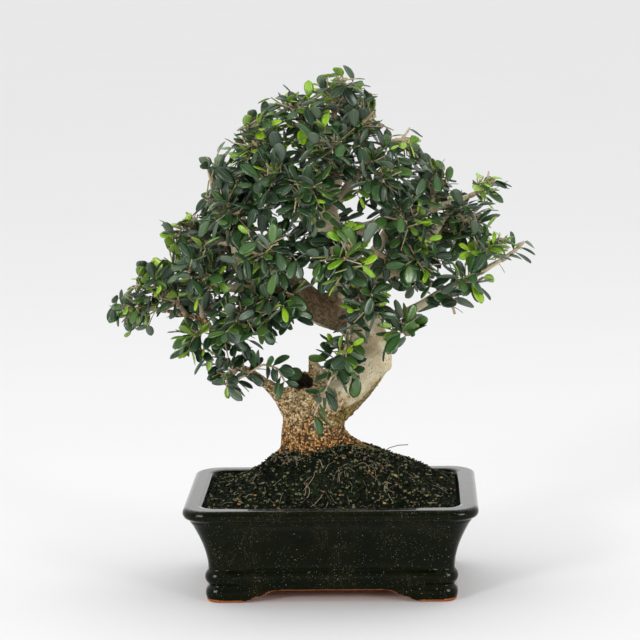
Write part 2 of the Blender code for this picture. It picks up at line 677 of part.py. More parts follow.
def outside(spot, surface):
    near, normal, _, distance = surface.find_nearest(at(*spot))
    return distance > GAP * MM and (at(*spot) - near).dot(normal) > 0


def make_sprays(trunk, pieces):
    blade = leaf_shape()
    surface = BVHTree.FromObject(trunk, bpy.context.evaluated_depsgraph_get())
    for name, spray in grow_tree().items():
        stem = tube(f"spray_{name}", tapered(seated(spray["axis"], surface), AXIS_RADII), pieces)
        parts = bpy.data.collections.new(name)
        bpy.context.scene.collection.children.link(parts)
        for number, points in enumerate(spray["twigs"][:MAIN_TWIGS]):
            tube(f"{name}_twig_{number}", tapered(points, TWIG_RADII), parts)
        for number, (place, way, face, length, width, _) in enumerate(spray["leaves"]):
            leaf = bpy.data.objects.new(f"{name}_leaf_{number}", blade.copy())
            columns = (way * length * MM, face.cross(way) * width * MM, face * MM)
            leaf.data.transform(Matrix.Translation(at(*place)) @ Matrix(columns).transposed().to_4x4())
            parts.objects.link(leaf)
        fuse(stem, parts)
        paint(stem, (0.018, 0.058, 0.026), 0.32)
    bpy.data.meshes.remove(blade)


def main():
    pieces, cutters = fresh_collections()
    make_pot(pieces, cutters)
    pockets = make_screens(pieces, cutters)
    trunk = make_trunk(pieces, cutters)
    make_soil(trunk, pockets, pieces, cutters)
    make_sprays(trunk, pieces)
    for piece in pieces.objects:
        print(piece.name, len(piece.data.polygons))


main()
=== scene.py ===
# %% [markdown]
# # An olive bonsai in a glazed tray pot
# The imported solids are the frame: they say where each piece is and how large it is. This lesson puts
# finer pieces on that frame. The pot, the soil, the trunk and each leafy spray are made again with the
# detail that an eye expects, and every one keeps the place of the solid that it stands for.
# Sizes are in millimetres, measured from the middle of the pot on the surface it stands on, because
# that is how they were read off; one function turns them into metres from the frame's origin.

import itertools
import math
import random

import bmesh
import bpy
import numpy as np
from mathutils import Matrix, Vector, noise
from mathutils.bvhtree import BVHTree


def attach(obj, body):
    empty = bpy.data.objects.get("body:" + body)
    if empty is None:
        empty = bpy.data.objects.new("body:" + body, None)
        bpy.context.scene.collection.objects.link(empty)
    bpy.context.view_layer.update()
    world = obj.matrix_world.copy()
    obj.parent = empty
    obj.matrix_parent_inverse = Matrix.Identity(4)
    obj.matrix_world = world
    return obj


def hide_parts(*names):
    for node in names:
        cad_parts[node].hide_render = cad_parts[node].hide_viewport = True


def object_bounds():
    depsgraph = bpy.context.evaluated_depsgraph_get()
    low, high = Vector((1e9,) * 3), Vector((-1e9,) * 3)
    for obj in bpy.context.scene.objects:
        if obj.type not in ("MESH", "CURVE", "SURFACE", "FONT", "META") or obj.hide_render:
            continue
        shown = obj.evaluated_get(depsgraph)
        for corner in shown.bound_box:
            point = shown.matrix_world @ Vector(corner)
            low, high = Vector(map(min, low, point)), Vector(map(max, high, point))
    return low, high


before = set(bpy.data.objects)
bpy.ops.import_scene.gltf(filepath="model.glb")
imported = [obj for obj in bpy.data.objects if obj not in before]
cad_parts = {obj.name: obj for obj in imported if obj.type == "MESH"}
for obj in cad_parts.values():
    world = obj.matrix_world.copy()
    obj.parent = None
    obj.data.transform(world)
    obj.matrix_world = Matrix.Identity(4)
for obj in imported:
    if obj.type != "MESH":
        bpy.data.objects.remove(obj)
cad_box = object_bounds()
MM = 0.001
GAP = 0.35
POT_AT = (4.4, -5.5)


def at(x, y, z):
    """A place in millimetres from the pot's middle, in metres from the frame's origin."""
    return Vector((x + POT_AT[0], y + POT_AT[1], z)) * MM


print("nodes", len(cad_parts))

# %% [markdown]
# ## Materials as expressions
# A finish is a small program: noise, ramps and sums that end in a colour, a roughness and a bump. Node
# by node that takes pages, so a socket is wrapped in a class whose operators add the Math nodes. Then
# `1 - mask * 0.5` reads as it is meant. Colours are mixed, never multiplied as numbers, because a Math
# node turns a colour grey. A number that is the same all over goes straight to the shader's own socket.

# %% A material that is written as expressions
class Field:
    """A value that varies over a surface. Arithmetic on it adds Math nodes."""

    def __init__(self, finish, socket):
        self.finish, self.socket = finish, socket

    def maths(self, operation, *values):
        return self.finish.node("ShaderNodeMath", {"operation": operation}, dict(enumerate(values)))

    def __add__(self, other):
        return self.maths("ADD", self, other)

    def __sub__(self, other):
        return self.maths("SUBTRACT", self, other)

    def __rsub__(self, other):
        return self.maths("SUBTRACT", other, self)

    def __mul__(self, other):
        return self.maths("MULTIPLY", self, other)

    def larger(self, other):
        return self.maths("MAXIMUM", self, other)

    def absolute(self):
        return self.maths("ABSOLUTE", self)

    def wave(self):
        return self.maths("SINE", self)

    def between(self, low, high):
        """0 at low, 1 at high, and a smooth rise from one to the other."""
        settings = {"interpolation_type": "SMOOTHSTEP"}
        return self.finish.node("ShaderNodeMapRange", settings, {0: self, 1: low, 2: high})

    __radd__, __rmul__ = __add__, __mul__


class Finish:
    """A Principled material whose nodes are asked for by type, settings and inputs."""

    def __init__(self, name, **fixed):
        self.material = bpy.data.materials.new(name)
        self.material.use_nodes = True
        self.tree = self.material.node_tree
        self.shader = self.tree.nodes["Principled BSDF"]
        for socket, value in fixed.items():
            self.shader.inputs[socket.replace("_", " ")].default_value = value
        self.place = self.node("ShaderNodeTexCoord", output="Object")

    def node(self, kind, settings=(), inputs=(), output=0):
        made = self.tree.nodes.new(kind)
        for setting, value in dict(settings).items():
            if setting == "stops":
                self.set_stops(made.color_ramp, value)
            else:
                setattr(made, setting, value)
        for socket, value in dict(inputs).items():
            if isinstance(value, Field):
                self.tree.links.new(value.socket, made.inputs[socket])
            else:
                made.inputs[socket].default_value = value
        return Field(self, made.outputs[output])

    @staticmethod
    def set_stops(ramp, stops):
        while len(ramp.elements) < len(stops):
            ramp.elements.new(0.5)
        for element, (position, *colour) in zip(ramp.elements, stops):
            element.position, element.color = position, (*colour, 1.0)

    def noise(self, size_mm, detail=3.0, roughness=0.55, place=None):
        inputs = {"Vector": place or self.place, "Scale": 1000.0 / size_mm, "Detail": detail,
                  "Roughness": roughness}
        return self.node("ShaderNodeTexNoise", inputs=inputs)

    def cells(self, size_mm, output=0):
        inputs = {"Vector": self.place, "Scale": 1000.0 / size_mm}
        return self.node("ShaderNodeTexVoronoi", inputs=inputs, output=output)

    def stretched(self, *scale):
        """The place on the surface with each direction scaled, for a grain that runs one way."""
        return self.node("ShaderNodeMapping", inputs={"Vector": self.place, "Scale": scale})

    def height(self):
        """Millimetres above the surface that the pot stands on."""
        return self.node("ShaderNodeSeparateXYZ", inputs={0: self.place}, output="Z") * 1000.0

    def attribute(self, name):
        return self.node("ShaderNodeAttribute", {"attribute_name": name}, output="Fac")

    def ramp(self, value, stops):
        return self.node("ShaderNodeValToRGB", {"stops": stops}, {0: value})

    def mix(self, share, first, second):
        """Share 0 gives the first colour and share 1 the second."""
        first, second = ((*c, 1.0) if isinstance(c, tuple) else c for c in (first, second))
        inputs = {"Factor": share, 6: first, 7: second}
        return self.node("ShaderNodeMix", {"data_type": "RGBA", "clamp_factor": True}, inputs, 2)

    def over(self, base, *layers):
        """Colours laid over a base one after another, each as far as its share says."""
        for share, colour in layers:
            base = self.mix(share, base, colour)
        return base

    def end(self, colour, roughness=None, bump=None, depth_mm=0.3, coat=None):
        """Link what varies to the shader and give back the material."""
        if bump is not None:
            bump = self.node("ShaderNodeBump", inputs={"Height": bump, "Distance": depth_mm * MM})
        varying = {"Base Color": colour, "Roughness": roughness, "Normal": bump, "Coat Weight": coat}
        for socket, value in varying.items():
            if value is not None:
                self.tree.links.new(value.socket, self.shader.inputs[socket])
        return self.material


print("a finish is ready to be written")

# %% [markdown]
# ## Turning a mesh into a piece
# Every piece is made in a bmesh and ends the same way: its normals face out, its faces are shaded
# smooth, it takes one or more finishes, it rides on the frame's one body, and the solid that it
# replaces is hidden. One function does all that, so no piece can miss a step.

# %% From a bmesh to a finished piece
def as_mesh(name, bm):
    mesh = bpy.data.meshes.new(name)
    bm.to_mesh(mesh)
    bm.free()
    return mesh


def linked(name, data):
    """A new object in the scene that holds a mesh, a light or a camera."""
    thing = bpy.data.objects.new(name, data)
    bpy.context.scene.collection.objects.link(thing)
    return thing


def as_object(name, bm, crease=None):
    """Crease is the angle in degrees past which an edge stays sharp."""
    bmesh.ops.recalc_face_normals(bm, faces=bm.faces)
    for face in bm.faces:
        face.smooth = True
    if crease:
        for edge in bm.edges:
            edge.smooth = edge.calc_face_angle(0.0) < math.radians(crease)
    return linked(name, as_mesh(name, bm))


def finished(name, bm, finishes, replaced=(), crease=None):
    piece = as_object(name, bm, crease)
    for finish in finishes:
        piece.data.materials.append(finish)
    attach(piece, "root")
    if replaced:
        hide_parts(*replaced)
    return piece


def drawn_out(bm, outlines):
    """A skin through outlines of equal count: a circle is set on the first and drawn out to each next."""
    ring = bmesh.ops.create_circle(bm, segments=len(outlines[0]), radius=1.0)["verts"]
    edges = list(dict.fromkeys(e for v in ring for e in v.link_edges))
    bmesh.ops.contextual_create(bm, geom=edges)
    made = []
    for number, outline in enumerate(outlines):
        if number:
            drawn = bmesh.ops.extrude_edge_only(bm, edges=edges)["geom"]
            fresh = {g for g in drawn if isinstance(g, bmesh.types.BMVert)}
            edges = [g for g in drawn if isinstance(g, bmesh.types.BMEdge) and set(g.verts) <= fresh]
            ring = [next(e.other_vert(v) for e in v.link_edges if e.other_vert(v) in fresh) for v in ring]
        for v, place in zip(ring, outline):
            v.co = at(*place)
        made.append(ring)
    bmesh.ops.contextual_create(bm, geom=edges)
    return made


def sweep(bm, points, radii, sides):
    """A round tube along points, drawn out from ring to ring without a twist."""
    marks = [Vector(p) for p in points]
    facing = marks[1] - marks[0]
    turn = facing.to_track_quat("Z", "Y")
    angles = np.linspace(0, 2 * math.pi, sides, endpoint=False)
    corners = [Vector((math.cos(a), math.sin(a), 0)) for a in angles]
    outlines = []
    for i, mark in enumerate(marks):
        onward = marks[min(i + 1, len(marks) - 1)] - marks[max(i - 1, 0)]
        turn = facing.rotation_difference(onward) @ turn
        facing = onward
        outlines.append([mark + turn @ corner * radii[i] for corner in corners])
    return drawn_out(bm, outlines)


print("pieces are finished by one function")

# %% [markdown]
# ## The view
# The photograph was taken from a little above the rim with a long lens, so the pot's sides hardly run
# together. The camera comes first, because the crown is trimmed to the outline that it sees, the way a
# gardener steps back to clip a bonsai. A small function says where a place falls in the picture.

# %% Camera
AIM = (-8.82, 0.0, 230.79)
AZIMUTH, ELEVATION, ROLL = (math.radians(a) for a in (-1.96, 8.85, -0.83))
DISTANCE, LENS, SENSOR, PICTURE = 2314.1, 151.18, 36.0, 640

forward = Vector((math.sin(AZIMUTH) * math.cos(ELEVATION), math.cos(AZIMUTH) * math.cos(ELEVATION),
                  -math.sin(ELEVATION)))
level = Vector((math.cos(AZIMUTH), -math.sin(AZIMUTH), 0))
steep = level.cross(forward)
rightward = level * math.cos(ROLL) + steep * math.sin(ROLL)
upward = steep * math.cos(ROLL) - level * math.sin(ROLL)
eye = Vector(AIM) - forward * DISTANCE

camera = linked("camera", bpy.data.cameras.new("camera"))
turned = Matrix((rightward, upward, -forward)).transposed().to_4x4()
camera.matrix_world = Matrix.Translation(at(*eye)) @ turned
camera.data.lens, camera.data.sensor_width = LENS, SENSOR
camera.data.clip_start, camera.data.clip_end = 0.05, 200.0
bpy.context.scene.camera = camera


def seen_at(place):
    """Where a place falls in the picture, across and down."""
    away = Vector(place) - eye
    scale = PICTURE * LENS / SENSOR / away.dot(forward)
    return PICTURE / 2 + scale * away.dot(rightward), PICTURE / 2 - scale * away.dot(upward)


print("the rim's middle is seen at", seen_at((0, -93, 83)))

# %% [markdown]
# ## The tree's plan
# The trunk and the boughs were read off as chains of points with a radius each, and every
# leafy spray as a bough to grow from, a share of the way along it, a middle and a spread. The frame's
# solids were grown from this same plan, so repeating it here puts each new piece where its solid is.

# %% Limbs, boughs and sprays
# The trunk, as thick limbs that grow into each other: x, y, z and radius of each point
LIMBS = [
    [(-15, 1, 74, 24), (-16, 0, 100, 30), (-16, 0, 118, 29), (-16, 0, 138, 27), (-15, 0, 156, 25.5)],
    [(-14, 0, 154, 25), (2, 2, 166, 23), (20, 3, 180, 20.5), (31, 4, 196, 19.5), (32, 4, 213, 18),
     (22, 3, 230, 16.5), (14, 2, 250, 14), (11, 2, 272, 12), (5, 1, 300, 9.5)],
    [(20, 0, 234, 16), (-4, -5, 240, 15), (-27, -9, 251, 11.5), (-46, -13, 263, 8)],
    [(-24, -2, 156, 18), (-24, -4, 172, 13), (-17, -6, 182, 7)],
    [(-30, 0, 152, 15), (-44, -3, 166, 7.5), (-56, -6, 177, 5.5)],
    [(22, 1, 186, 15), (38, -1, 186, 11)],
    [(2, -2, 128, 13), (20, -5, 119, 11), (36, -7, 110, 8), (48, -8, 100, 5)],
    [(-28, -8, 122, 14), (-40, -16, 111, 10), (-50, -24, 99, 6)],
    [(-12, 14, 122, 13), (-8, 30, 110, 10), (-4, 42, 98, 6)],
]
CUT_STUB = [(-16, -6, 178, 6), (-15.5, -6, 190, 3.4), (-15, -6, 201, 3.0)]

# The boughs, as thinner limbs that start inside the trunk or inside another bough
BOUGHS = {
    "crown": [(6, 1, 294, 10), (0, 1, 318, 8), (0, 3, 346, 6.4), (6, 2, 374, 4.8), (6, 0, 400, 3.2)],
    "low_left": [(-50, -5, 172, 6.2), (-71, -9, 188, 4.6), (-88, -12, 196, 4.0), (-99, -14, 208, 3.7),
                 (-105, -14, 232, 3.2), (-140, -13, 242, 2.4)],
    "left": [(-40, -12, 260, 7.4), (-62, -11, 268, 6.0), (-78, -7, 280, 5.2), (-80, -5, 296, 4.4),
             (-89, -1, 316, 3.4)],
    "front_left": [(-42, -13, 261, 6), (-62, -30, 262, 4.6), (-86, -46, 266, 3.4)],
    "upper_left": [(2, 0, 304, 6.4), (-18, -6, 318, 5.4), (-28, -10, 338, 4.6), (-48, -12, 366, 3.2)],
    "right": [(10, 0, 258, 8.6), (30, -5, 265, 7.4), (56, -9, 277, 6.0), (84, -3, 300, 4.2), (98, 2, 318, 3.2)],
    "right_low": [(54, -8, 276, 5.0), (72, -14, 269, 4.2), (90, -18, 263, 3.2)],
    "long_right": [(2, -6, 256, 5.0), (18, -18, 246, 4.4), (43, -24, 239, 4.2), (66, -26, 241, 4.0),
                   (98, -26, 259, 3.5), (122, -24, 271, 3.0), (146, -23, 284, 2.2)],
    "upper_right": [(4, 1, 300, 6.4), (28, 4, 309, 5.4), (58, 2, 317, 4.6), (94, -2, 328, 3.4),
                    (120, -4, 337, 2.3)],
    "top_right": [(0, 2, 326, 5.6), (14, -9, 342, 4.8), (24, -13, 356, 4.2), (46, -12, 380, 2.8)],
    "back_right": [(14, 6, 254, 7.4), (26, 30, 270, 5.8), (42, 56, 288, 4.4), (52, 76, 306, 3.2)],
    "back_left": [(-6, 2, 243, 7.4), (-28, 28, 260, 5.8), (-52, 52, 278, 4.4), (-70, 70, 298, 3.2)],
    "back": [(5, 3, 292, 6.4), (4, 30, 312, 5.0), (0, 54, 334, 3.6)],
    "back_top": [(1, 3, 336, 5.2), (10, 22, 356, 4.2), (14, 38, 378, 3.0)],
    "front": [(12, -4, 252, 6.0), (16, -28, 264, 4.8), (14, -52, 280, 3.4)],
    "front_mid": [(-24, -9, 249, 6.0), (-28, -32, 264, 4.6), (-36, -54, 284, 3.2)],
    "front_top": [(2, 0, 312, 5.6), (-6, -24, 332, 4.2), (-12, -44, 352, 3.0)],
}

# The sprays: bough, share of the way along it, middle of the spray and how far it spreads
SPRAYS = {
    "far_left": ("low_left", 1.0, (-170, -14, 243), 20),
    "left_edge": ("low_left", 0.86, (-156, -24, 264), 22),
    "left_bright": ("low_left", 0.74, (-128, -10, 276), 22),
    "left_under": ("low_left", 0.66, (-116, -24, 214), 16),
    "left_hang": ("low_left", 0.3, (-84, -22, 184), 17),
    "left_inner": ("low_left", 0.56, (-86, -30, 226), 22),
    "left_behind": ("low_left", 0.72, (-124, 16, 252), 24),
    "left_tip": ("left", 0.78, (-127, 4, 308), 23),
    "left_shoulder": ("left", 1.0, (-98, -2, 355), 24),
    "left_back": ("left", 0.55, (-104, 30, 300), 26),
    "left_face": ("front_left", 1.0, (-106, -58, 284), 22),
    "left_low_face": ("front_left", 0.62, (-74, -52, 242), 22),
    "left_cheek": ("left", 0.9, (-80, -42, 328), 25),
    "crown_left": ("upper_left", 1.0, (-66, -14, 390), 26),
    "crown_left_back": ("upper_left", 0.8, (-58, 24, 372), 26),
    "brow_left": ("upper_left", 0.6, (-44, -46, 358), 25),
    "crown_tip": ("crown", 1.0, (8, -4, 432), 24),
    "crown_west": ("crown", 0.8, (-28, -8, 412), 25),
    "crown_east": ("crown", 0.86, (34, -4, 404), 22),
    "crown_back": ("back_top", 1.0, (14, 52, 396), 26),
    "crown_face": ("front_top", 0.72, (4, -46, 386), 26),
    "brow": ("front_top", 1.0, (-16, -70, 334), 26),
    "top_right_tip": ("top_right", 1.0, (68, -12, 382), 23),
    "brow_right": ("top_right", 0.7, (44, -44, 352), 25),
    "right_shoulder": ("upper_right", 0.72, (94, 8, 348), 24),
    "right_tip": ("upper_right", 1.0, (128, -6, 346), 18),
    "right_face": ("upper_right", 0.5, (62, -34, 318), 25),
    "right_end": ("right", 1.0, (112, -6, 310), 22),
    "right_back": ("right", 0.85, (102, 36, 306), 26),
    "right_cheek": ("right", 0.6, (72, -38, 285), 23),
    "right_low": ("right_low", 1.0, (96, -34, 252), 19),
    "long_tip": ("long_right", 1.0, (151, -23, 288), 13),
    "long_upright": ("long_right", 0.88, (136, -20, 298), 18),
    "long_mid": ("long_right", 0.76, (116, -40, 268), 18),
    "long_near": ("long_right", 0.36, (64, -38, 228), 17),
    "back_right_end": ("back_right", 1.0, (64, 82, 322), 27),
    "back_right_low": ("back_right", 0.62, (66, 72, 274), 26),
    "back_left_end": ("back_left", 1.0, (-78, 74, 322), 27),
    "back_left_low": ("back_left", 0.62, (-76, 66, 270), 26),
    "back_end": ("back", 1.0, (-4, 78, 348), 27),
    "back_low": ("back", 0.5, (-6, 72, 296), 26),
    "face": ("front", 1.0, (14, -78, 292), 26),
    "face_low": ("front", 0.62, (34, -52, 252), 20),
    "face_left": ("front_mid", 1.0, (-48, -74, 296), 26),
    "face_left_low": ("front_mid", 0.6, (-44, -52, 246), 22),
    "trunk_drop": ("long_right", 0.14, (6, -36, 196), 20),
}
HEART = (0, 0, 270)
SEED = 11

# How a spray grows, in millimetres, degrees and shares of a spray's spread or of a leaf's length
AXIS_STEPS, AXIS_RADIUS, AXIS_TRIES = 4, 2.2, 40
TWIG_STEPS, TWIG_RADIUS = 2, 1.35
TWIG_SPACING, TWIG_LEAN, SHORTEST_TWIG = 10.5, 52.0, 9.0
MAIN_TWIGS, FULL_SPREAD = 2, 24.0
TIP_REACH, TWIG_REACH = 0.35, (0.5, 0.85)
ROOT_ROOM, CLEAR, WOOD = 5.2, 0.6, -1
LEAF_LEAN, LEAF_LENGTH, LEAF_WIDTH = (48.0, 74.0), (15.0, 22.0), (0.4, 0.5)
BLADE, LEAF_TRIES = (0.3, 0.85), 9

print(len(LIMBS), "limbs", len(BOUGHS), "boughs", len(SPRAYS), "sprays")

# %% [markdown]
# ## Room to grow
# A real shoot turns away from its neighbours, because they shade it. Here each piece of wood and each
# leaf is remembered as a tapered capsule, and whatever grows next has to keep clear of them all. That
# rule gives the crown its even look, and it also keeps the sprays from cutting through each other.

# %% The growing rule
class Room:
    """The space that wood and leaves already take, as tapered capsules kept by the cells they pass."""

    CELL = 13.0

    def __init__(self, most=32768):
        self.ends = np.zeros((most, 2, 3))
        self.radii = np.zeros((most, 2))
        self.owners = np.zeros(most, int)
        self.cells = {}
        self.used = 0

    def cells_near(self, a, b, reach):
        spans = []
        for low, high in zip(np.minimum(a, b) - reach, np.maximum(a, b) + reach):
            spans.append(range(math.floor(low / self.CELL), math.floor(high / self.CELL) + 1))
        return itertools.product(*spans)

    def add(self, a, b, radii, owner):
        self.ends[self.used] = a, b
        self.radii[self.used] = radii
        self.owners[self.used] = owner
        for cell in self.cells_near(a, b, max(radii)):
            self.cells.setdefault(cell, []).append(self.used)
        self.used += 1

    def add_line(self, points, radii, owner):
        for a, b in zip(points, points[1:]):
            self.add(a, b, radii, owner)

    def margin(self, a, b, radius, skip=()):
        """How far a new capsule stays from those near it whose owner isn't in skip."""
        a, b = np.array(a), np.array(b)
        found = set()
        for cell in self.cells_near(a, b, radius + 1.0):
            found.update(self.cells.get(cell, ()))
        taken = np.array([i for i in found if self.owners[i] not in skip], int)
        if not len(taken):
            return math.inf
        p, along = self.ends[taken, 0], self.ends[taken, 1] - self.ends[taken, 0]
        length = np.maximum((along * along).sum(1), 1e-12)
        spots = a + (b - a) * np.linspace(0, 1, 6)[:, None, None]
        t = np.clip(((spots - p) * along).sum(2) / length, 0, 1)
        away = np.sqrt(((p + along * t[:, :, None] - spots) ** 2).sum(2))
        thick = self.radii[taken, 0] * (1 - t) + self.radii[taken, 1] * t
        return float((away - thick).min()) - radius


def walk(points, share):
    """The place, direction and radius a share of the way along a limb."""
    spots = [Vector(p[:3]) for p in points]
    lengths = [(b - a).length for a, b in zip(spots, spots[1:])]
    left = share * sum(lengths)
    for i, length in enumerate(lengths):
        if left <= length or i == len(lengths) - 1:
            t = min(left / length, 1.0)
            radius = points[i][3] * (1 - t) + points[i + 1][3] * t
            return spots[i].lerp(spots[i + 1], t), (spots[i + 1] - spots[i]).normalized(), radius
        left -= length


def measured(points):
    """A thin shoot in the form that walk takes, and its length."""
    return [(*p, 1.0) for p in points], sum((b - a).length for a, b in zip(points, points[1:]))


def bowed(start, control, end, steps):
    """Points along a curve that leaves start for control and bends to end."""
    found = []
    for i in range(steps + 1):
        t = i / steps
        found.append(start * (1 - t) ** 2 + control * (2 * t * (1 - t)) + end * t**2)
    return found


def side_of(direction, turn):
    """A direction square to a shoot's own, turned round the shoot."""
    start = direction.cross(Vector((0.13, 0.21, 1.0))).normalized()
    return Matrix.Rotation(turn, 3, direction) @ start


def run_margin(room, points, radius, skip=()):
    return min(room.margin(a, b, radius, skip) for a, b in zip(points, points[1:]))


def grow_axis(room, draw, plan, owner):
    """The spray's own branchlet, bent another way until it keeps clear of everything."""
    bough, share, centre, spread = plan
    middle, direction, radius = walk(BOUGHS[bough], share)
    centre = Vector(centre)
    out = ((centre - middle).normalized() + (centre - Vector(HEART)).normalized()).normalized()
    best, best_margin = None, -math.inf
    for attempt in range(AXIS_TRIES):
        sway = Vector([draw.uniform(-1, 1) for _ in range(3)]) * (1.0 + 0.5 * attempt)
        tip = centre + out * spread * TIP_REACH + sway
        if share < 1.0:
            across = tip - middle
            side = (across - direction * across.dot(direction) + sway).normalized()
            start = middle + side * (radius - 1.0)
            lead = (side + direction * 0.45).normalized()
        else:
            start, lead = middle, direction
        control = start + lead * 0.45 * (tip - start).length
        points = bowed(start, control, tip, AXIS_STEPS)
        onward = points[1] - start
        in_wood = ROOT_ROOM + (0.0 if share < 1.0 else radius)
        first = start + onward.normalized() * min(0.9 * onward.length, in_wood)
        margin = run_margin(room, [first, *points[1:]], AXIS_RADIUS + CLEAR)
        if margin > best_margin:
            best, best_margin = points, margin
        if margin > 0:
            break
    room.add_line(best, (AXIS_RADIUS, AXIS_RADIUS), owner)
    return best


def grow_twigs(room, draw, axis, spread, owner):
    """Side twigs in opposite pairs, each pair turned a quarter round from the last."""
    spots, length = measured(axis)
    twigs, turn = [], draw.uniform(0, math.pi)
    at_mm = max(8.0, length - 1.9 * spread)
    while at_mm < length - 5.0:
        place, direction, _ = walk(spots, at_mm / length)
        for hand in (0, math.pi):
            side = side_of(direction, turn + hand + draw.uniform(-0.35, 0.35))
            lean = math.radians(TWIG_LEAN + draw.uniform(-10, 10))
            way = (direction * math.cos(lean) + side * math.sin(lean)).normalized()
            reach = spread * draw.uniform(*TWIG_REACH) * (1.1 - 0.45 * at_mm / length)
            while reach > SHORTEST_TWIG:
                tip = place + way * reach + Vector((0, 0, 0.22 * reach))
                points = bowed(place, place + way * reach * 0.5, tip, TWIG_STEPS)
                if run_margin(room, points, TWIG_RADIUS + CLEAR, (owner,)) > 0:
                    twigs.append(points)
                    break
                reach *= 0.75
        turn += math.pi / 2 + draw.uniform(-0.3, 0.3)
        at_mm += TWIG_SPACING * draw.uniform(0.85, 1.2)
    for points in twigs:
        room.add_line(points, (TWIG_RADIUS, TWIG_RADIUS), owner)
    return twigs


def leaf_towards(draw, sky, place, direction, side, lean, size=1.0, widths=LEAF_WIDTH):
    """A leaf's root, its way out, its face's direction, length and width, and a shade from 0 to 1."""
    way = (direction * math.cos(lean) + side * math.sin(lean)).normalized()
    across = way.cross(sky).normalized()
    length = draw.uniform(*LEAF_LENGTH) * size
    width = length * draw.uniform(*widths)
    return place + side * 0.35, way, across.cross(way).normalized(), length, width, draw.random()


def along_leaf(leaf, share):
    return leaf[0] + leaf[1] * leaf[3] * share


def leaf_fits(room, leaf, room_share, skip):
    """Whether the blade and the stalk of a leaf both have room."""
    width = leaf[4]
    middle, end = (along_leaf(leaf, share) for share in BLADE)
    blade = room.margin(middle, end, width * room_share, skip)
    return min(blade, room.margin(leaf[0], middle, width * 0.3, skip)) > 0


def keep_leaf(room, leaf, room_share, owner):
    radius = leaf[4] * room_share
    room.add(*(along_leaf(leaf, share) for share in BLADE), (radius, radius), owner)


def grow_main_leaves(room, draw, shoots, owner, full):
    """A pair at each shoot's tip and, on a full spray, one lower down, all with room to themselves."""
    leaves = []
    for number, points in enumerate(shoots):
        on_axis = [AXIS_STEPS - 1] if number == 0 and full else []
        for index in [len(points) - 1, *on_axis]:
            direction = (points[index] - points[index - 1]).normalized()
            place = points[index] - direction * 1.2
            turn = draw.uniform(0, math.pi)
            for hand in (0, math.pi):
                for attempt in range(LEAF_TRIES):
                    side = side_of(direction, turn + hand + attempt * 0.7)
                    lean = math.radians(draw.uniform(*LEAF_LEAN) - 4 * attempt)
                    sky = Vector((draw.uniform(-0.5, 0.5), draw.uniform(-0.5, 0.5), 1.0))
                    leaf = leaf_towards(draw, sky, place, direction, side, lean)
                    if leaf_fits(room, leaf, 0.52, (owner,)) and apart(leaf, leaves):
                        leaves.append(leaf)
                        break
    for leaf in leaves:
        keep_leaf(room, leaf, 0.5, owner)
    return leaves


def apart(leaf, leaves):
    """Whether a leaf's tip half stays clear of those of its own spray."""
    return all((along_leaf(leaf, 0.62) - along_leaf(other, 0.62)).length > 0.5 * (leaf[4] + other[4]) + 1.5
               for other in leaves)


def grow_tree(room):
    """Each spray's branchlet, its twigs with the longest first, and its main leaves, in millimetres."""
    for points in [*LIMBS, CUT_STUB, *BOUGHS.values()]:
        for a, b in zip(points, points[1:]):
            room.add(a[:3], b[:3], (a[3], b[3]), WOOD)
    grown = {}
    for number, (name, plan) in enumerate(SPRAYS.items()):
        draw = random.Random(SEED * 1000 + number)
        axis = grow_axis(room, draw, plan, number)
        centre, spread = Vector(plan[2]), plan[3]
        grown[name] = {"axis": axis, "draw": draw, "owner": number, "centre": centre, "spread": spread}
    for spray in grown.values():
        twigs = grow_twigs(room, spray["draw"], spray["axis"], spray["spread"], spray["owner"])
        spray["twigs"] = sorted(twigs, key=lambda t: -(t[-1] - t[0]).length)
    for spray in grown.values():
        shoots = [spray["axis"], *spray["twigs"][:MAIN_TWIGS]]
        full = spray["spread"] >= FULL_SPREAD
        spray["leaves"] = grow_main_leaves(room, spray["draw"], shoots, spray["owner"], full)
    return grown


ROOM = Room()
grown = grow_tree(ROOM)
print("main leaves", sum(len(spray["leaves"]) for spray in grown.values()))

# %% [markdown]
# ## The rest of the foliage
# The solids carry only the leaves that have to be there for the outline. Now every twig gets its
# leaves in opposite pairs from tip to root, each pair a quarter turn from the last, as on the real
# plant. Twigs long enough to fork get a side shoot. The leaves at some tips are new, so they are
# small, upright and yellow green, and there are more of them at the top, where the light is.
#
# The real crown has deep bays and loose ends. So the crown is trimmed to an outline that was read off
# in the camera's view: what grows past it, by more than a ragged edge, is left out. A few shoots
# hang before the trunk, as they do in the photograph, and get their leaves by the same rule.

# %% More shoots and more leaves
YOUNG_SPRAYS = {
    "crown_tip": 0.6, "crown_west": 0.5, "left_bright": 0.85, "left_edge": 0.5, "left_under": 0.6,
    "left_tip": 0.4, "long_upright": 0.75, "right_tip": 0.55, "left_shoulder": 0.4, "far_left": 0.3,
    "crown_left": 0.35, "top_right_tip": 0.35, "face": 0.3, "right_shoulder": 0.35, "long_tip": 0.3,
}
YOUNG_ELSEWHERE = 0.12
PAIR_SPACING, PAIR_TRIES, LEAF_SIZE = 5.9, 3, (0.82, 1.14)
WIDER_LEAF = (LEAF_WIDTH[0] + 0.02, LEAF_WIDTH[1] + 0.08)
TWIGLET, TWIGLET_TRIES, PAST_SPREAD = (9.0, 24.0), 5, 1.12
TWIGLET_SHARES = (0.2, 0.36, 0.5, 0.64, 0.78, 0.9)
SLIM_LEAF = 0.2
LEAVES_OF = 1000
PAST_FRAME = 3 * MM
HANGING = {"trunk_drop": [[(2, -48, 190), (-5, -50, 176), (-10, -50, 164), (-13, -48, 156)],
                          [(-6, -51, 173), (-15, -51, 168), (-20, -50, 162)]],
           "left_hang": [[(-56, -36, 199), (-44, -39, 196), (-38, -40, 184)]]}
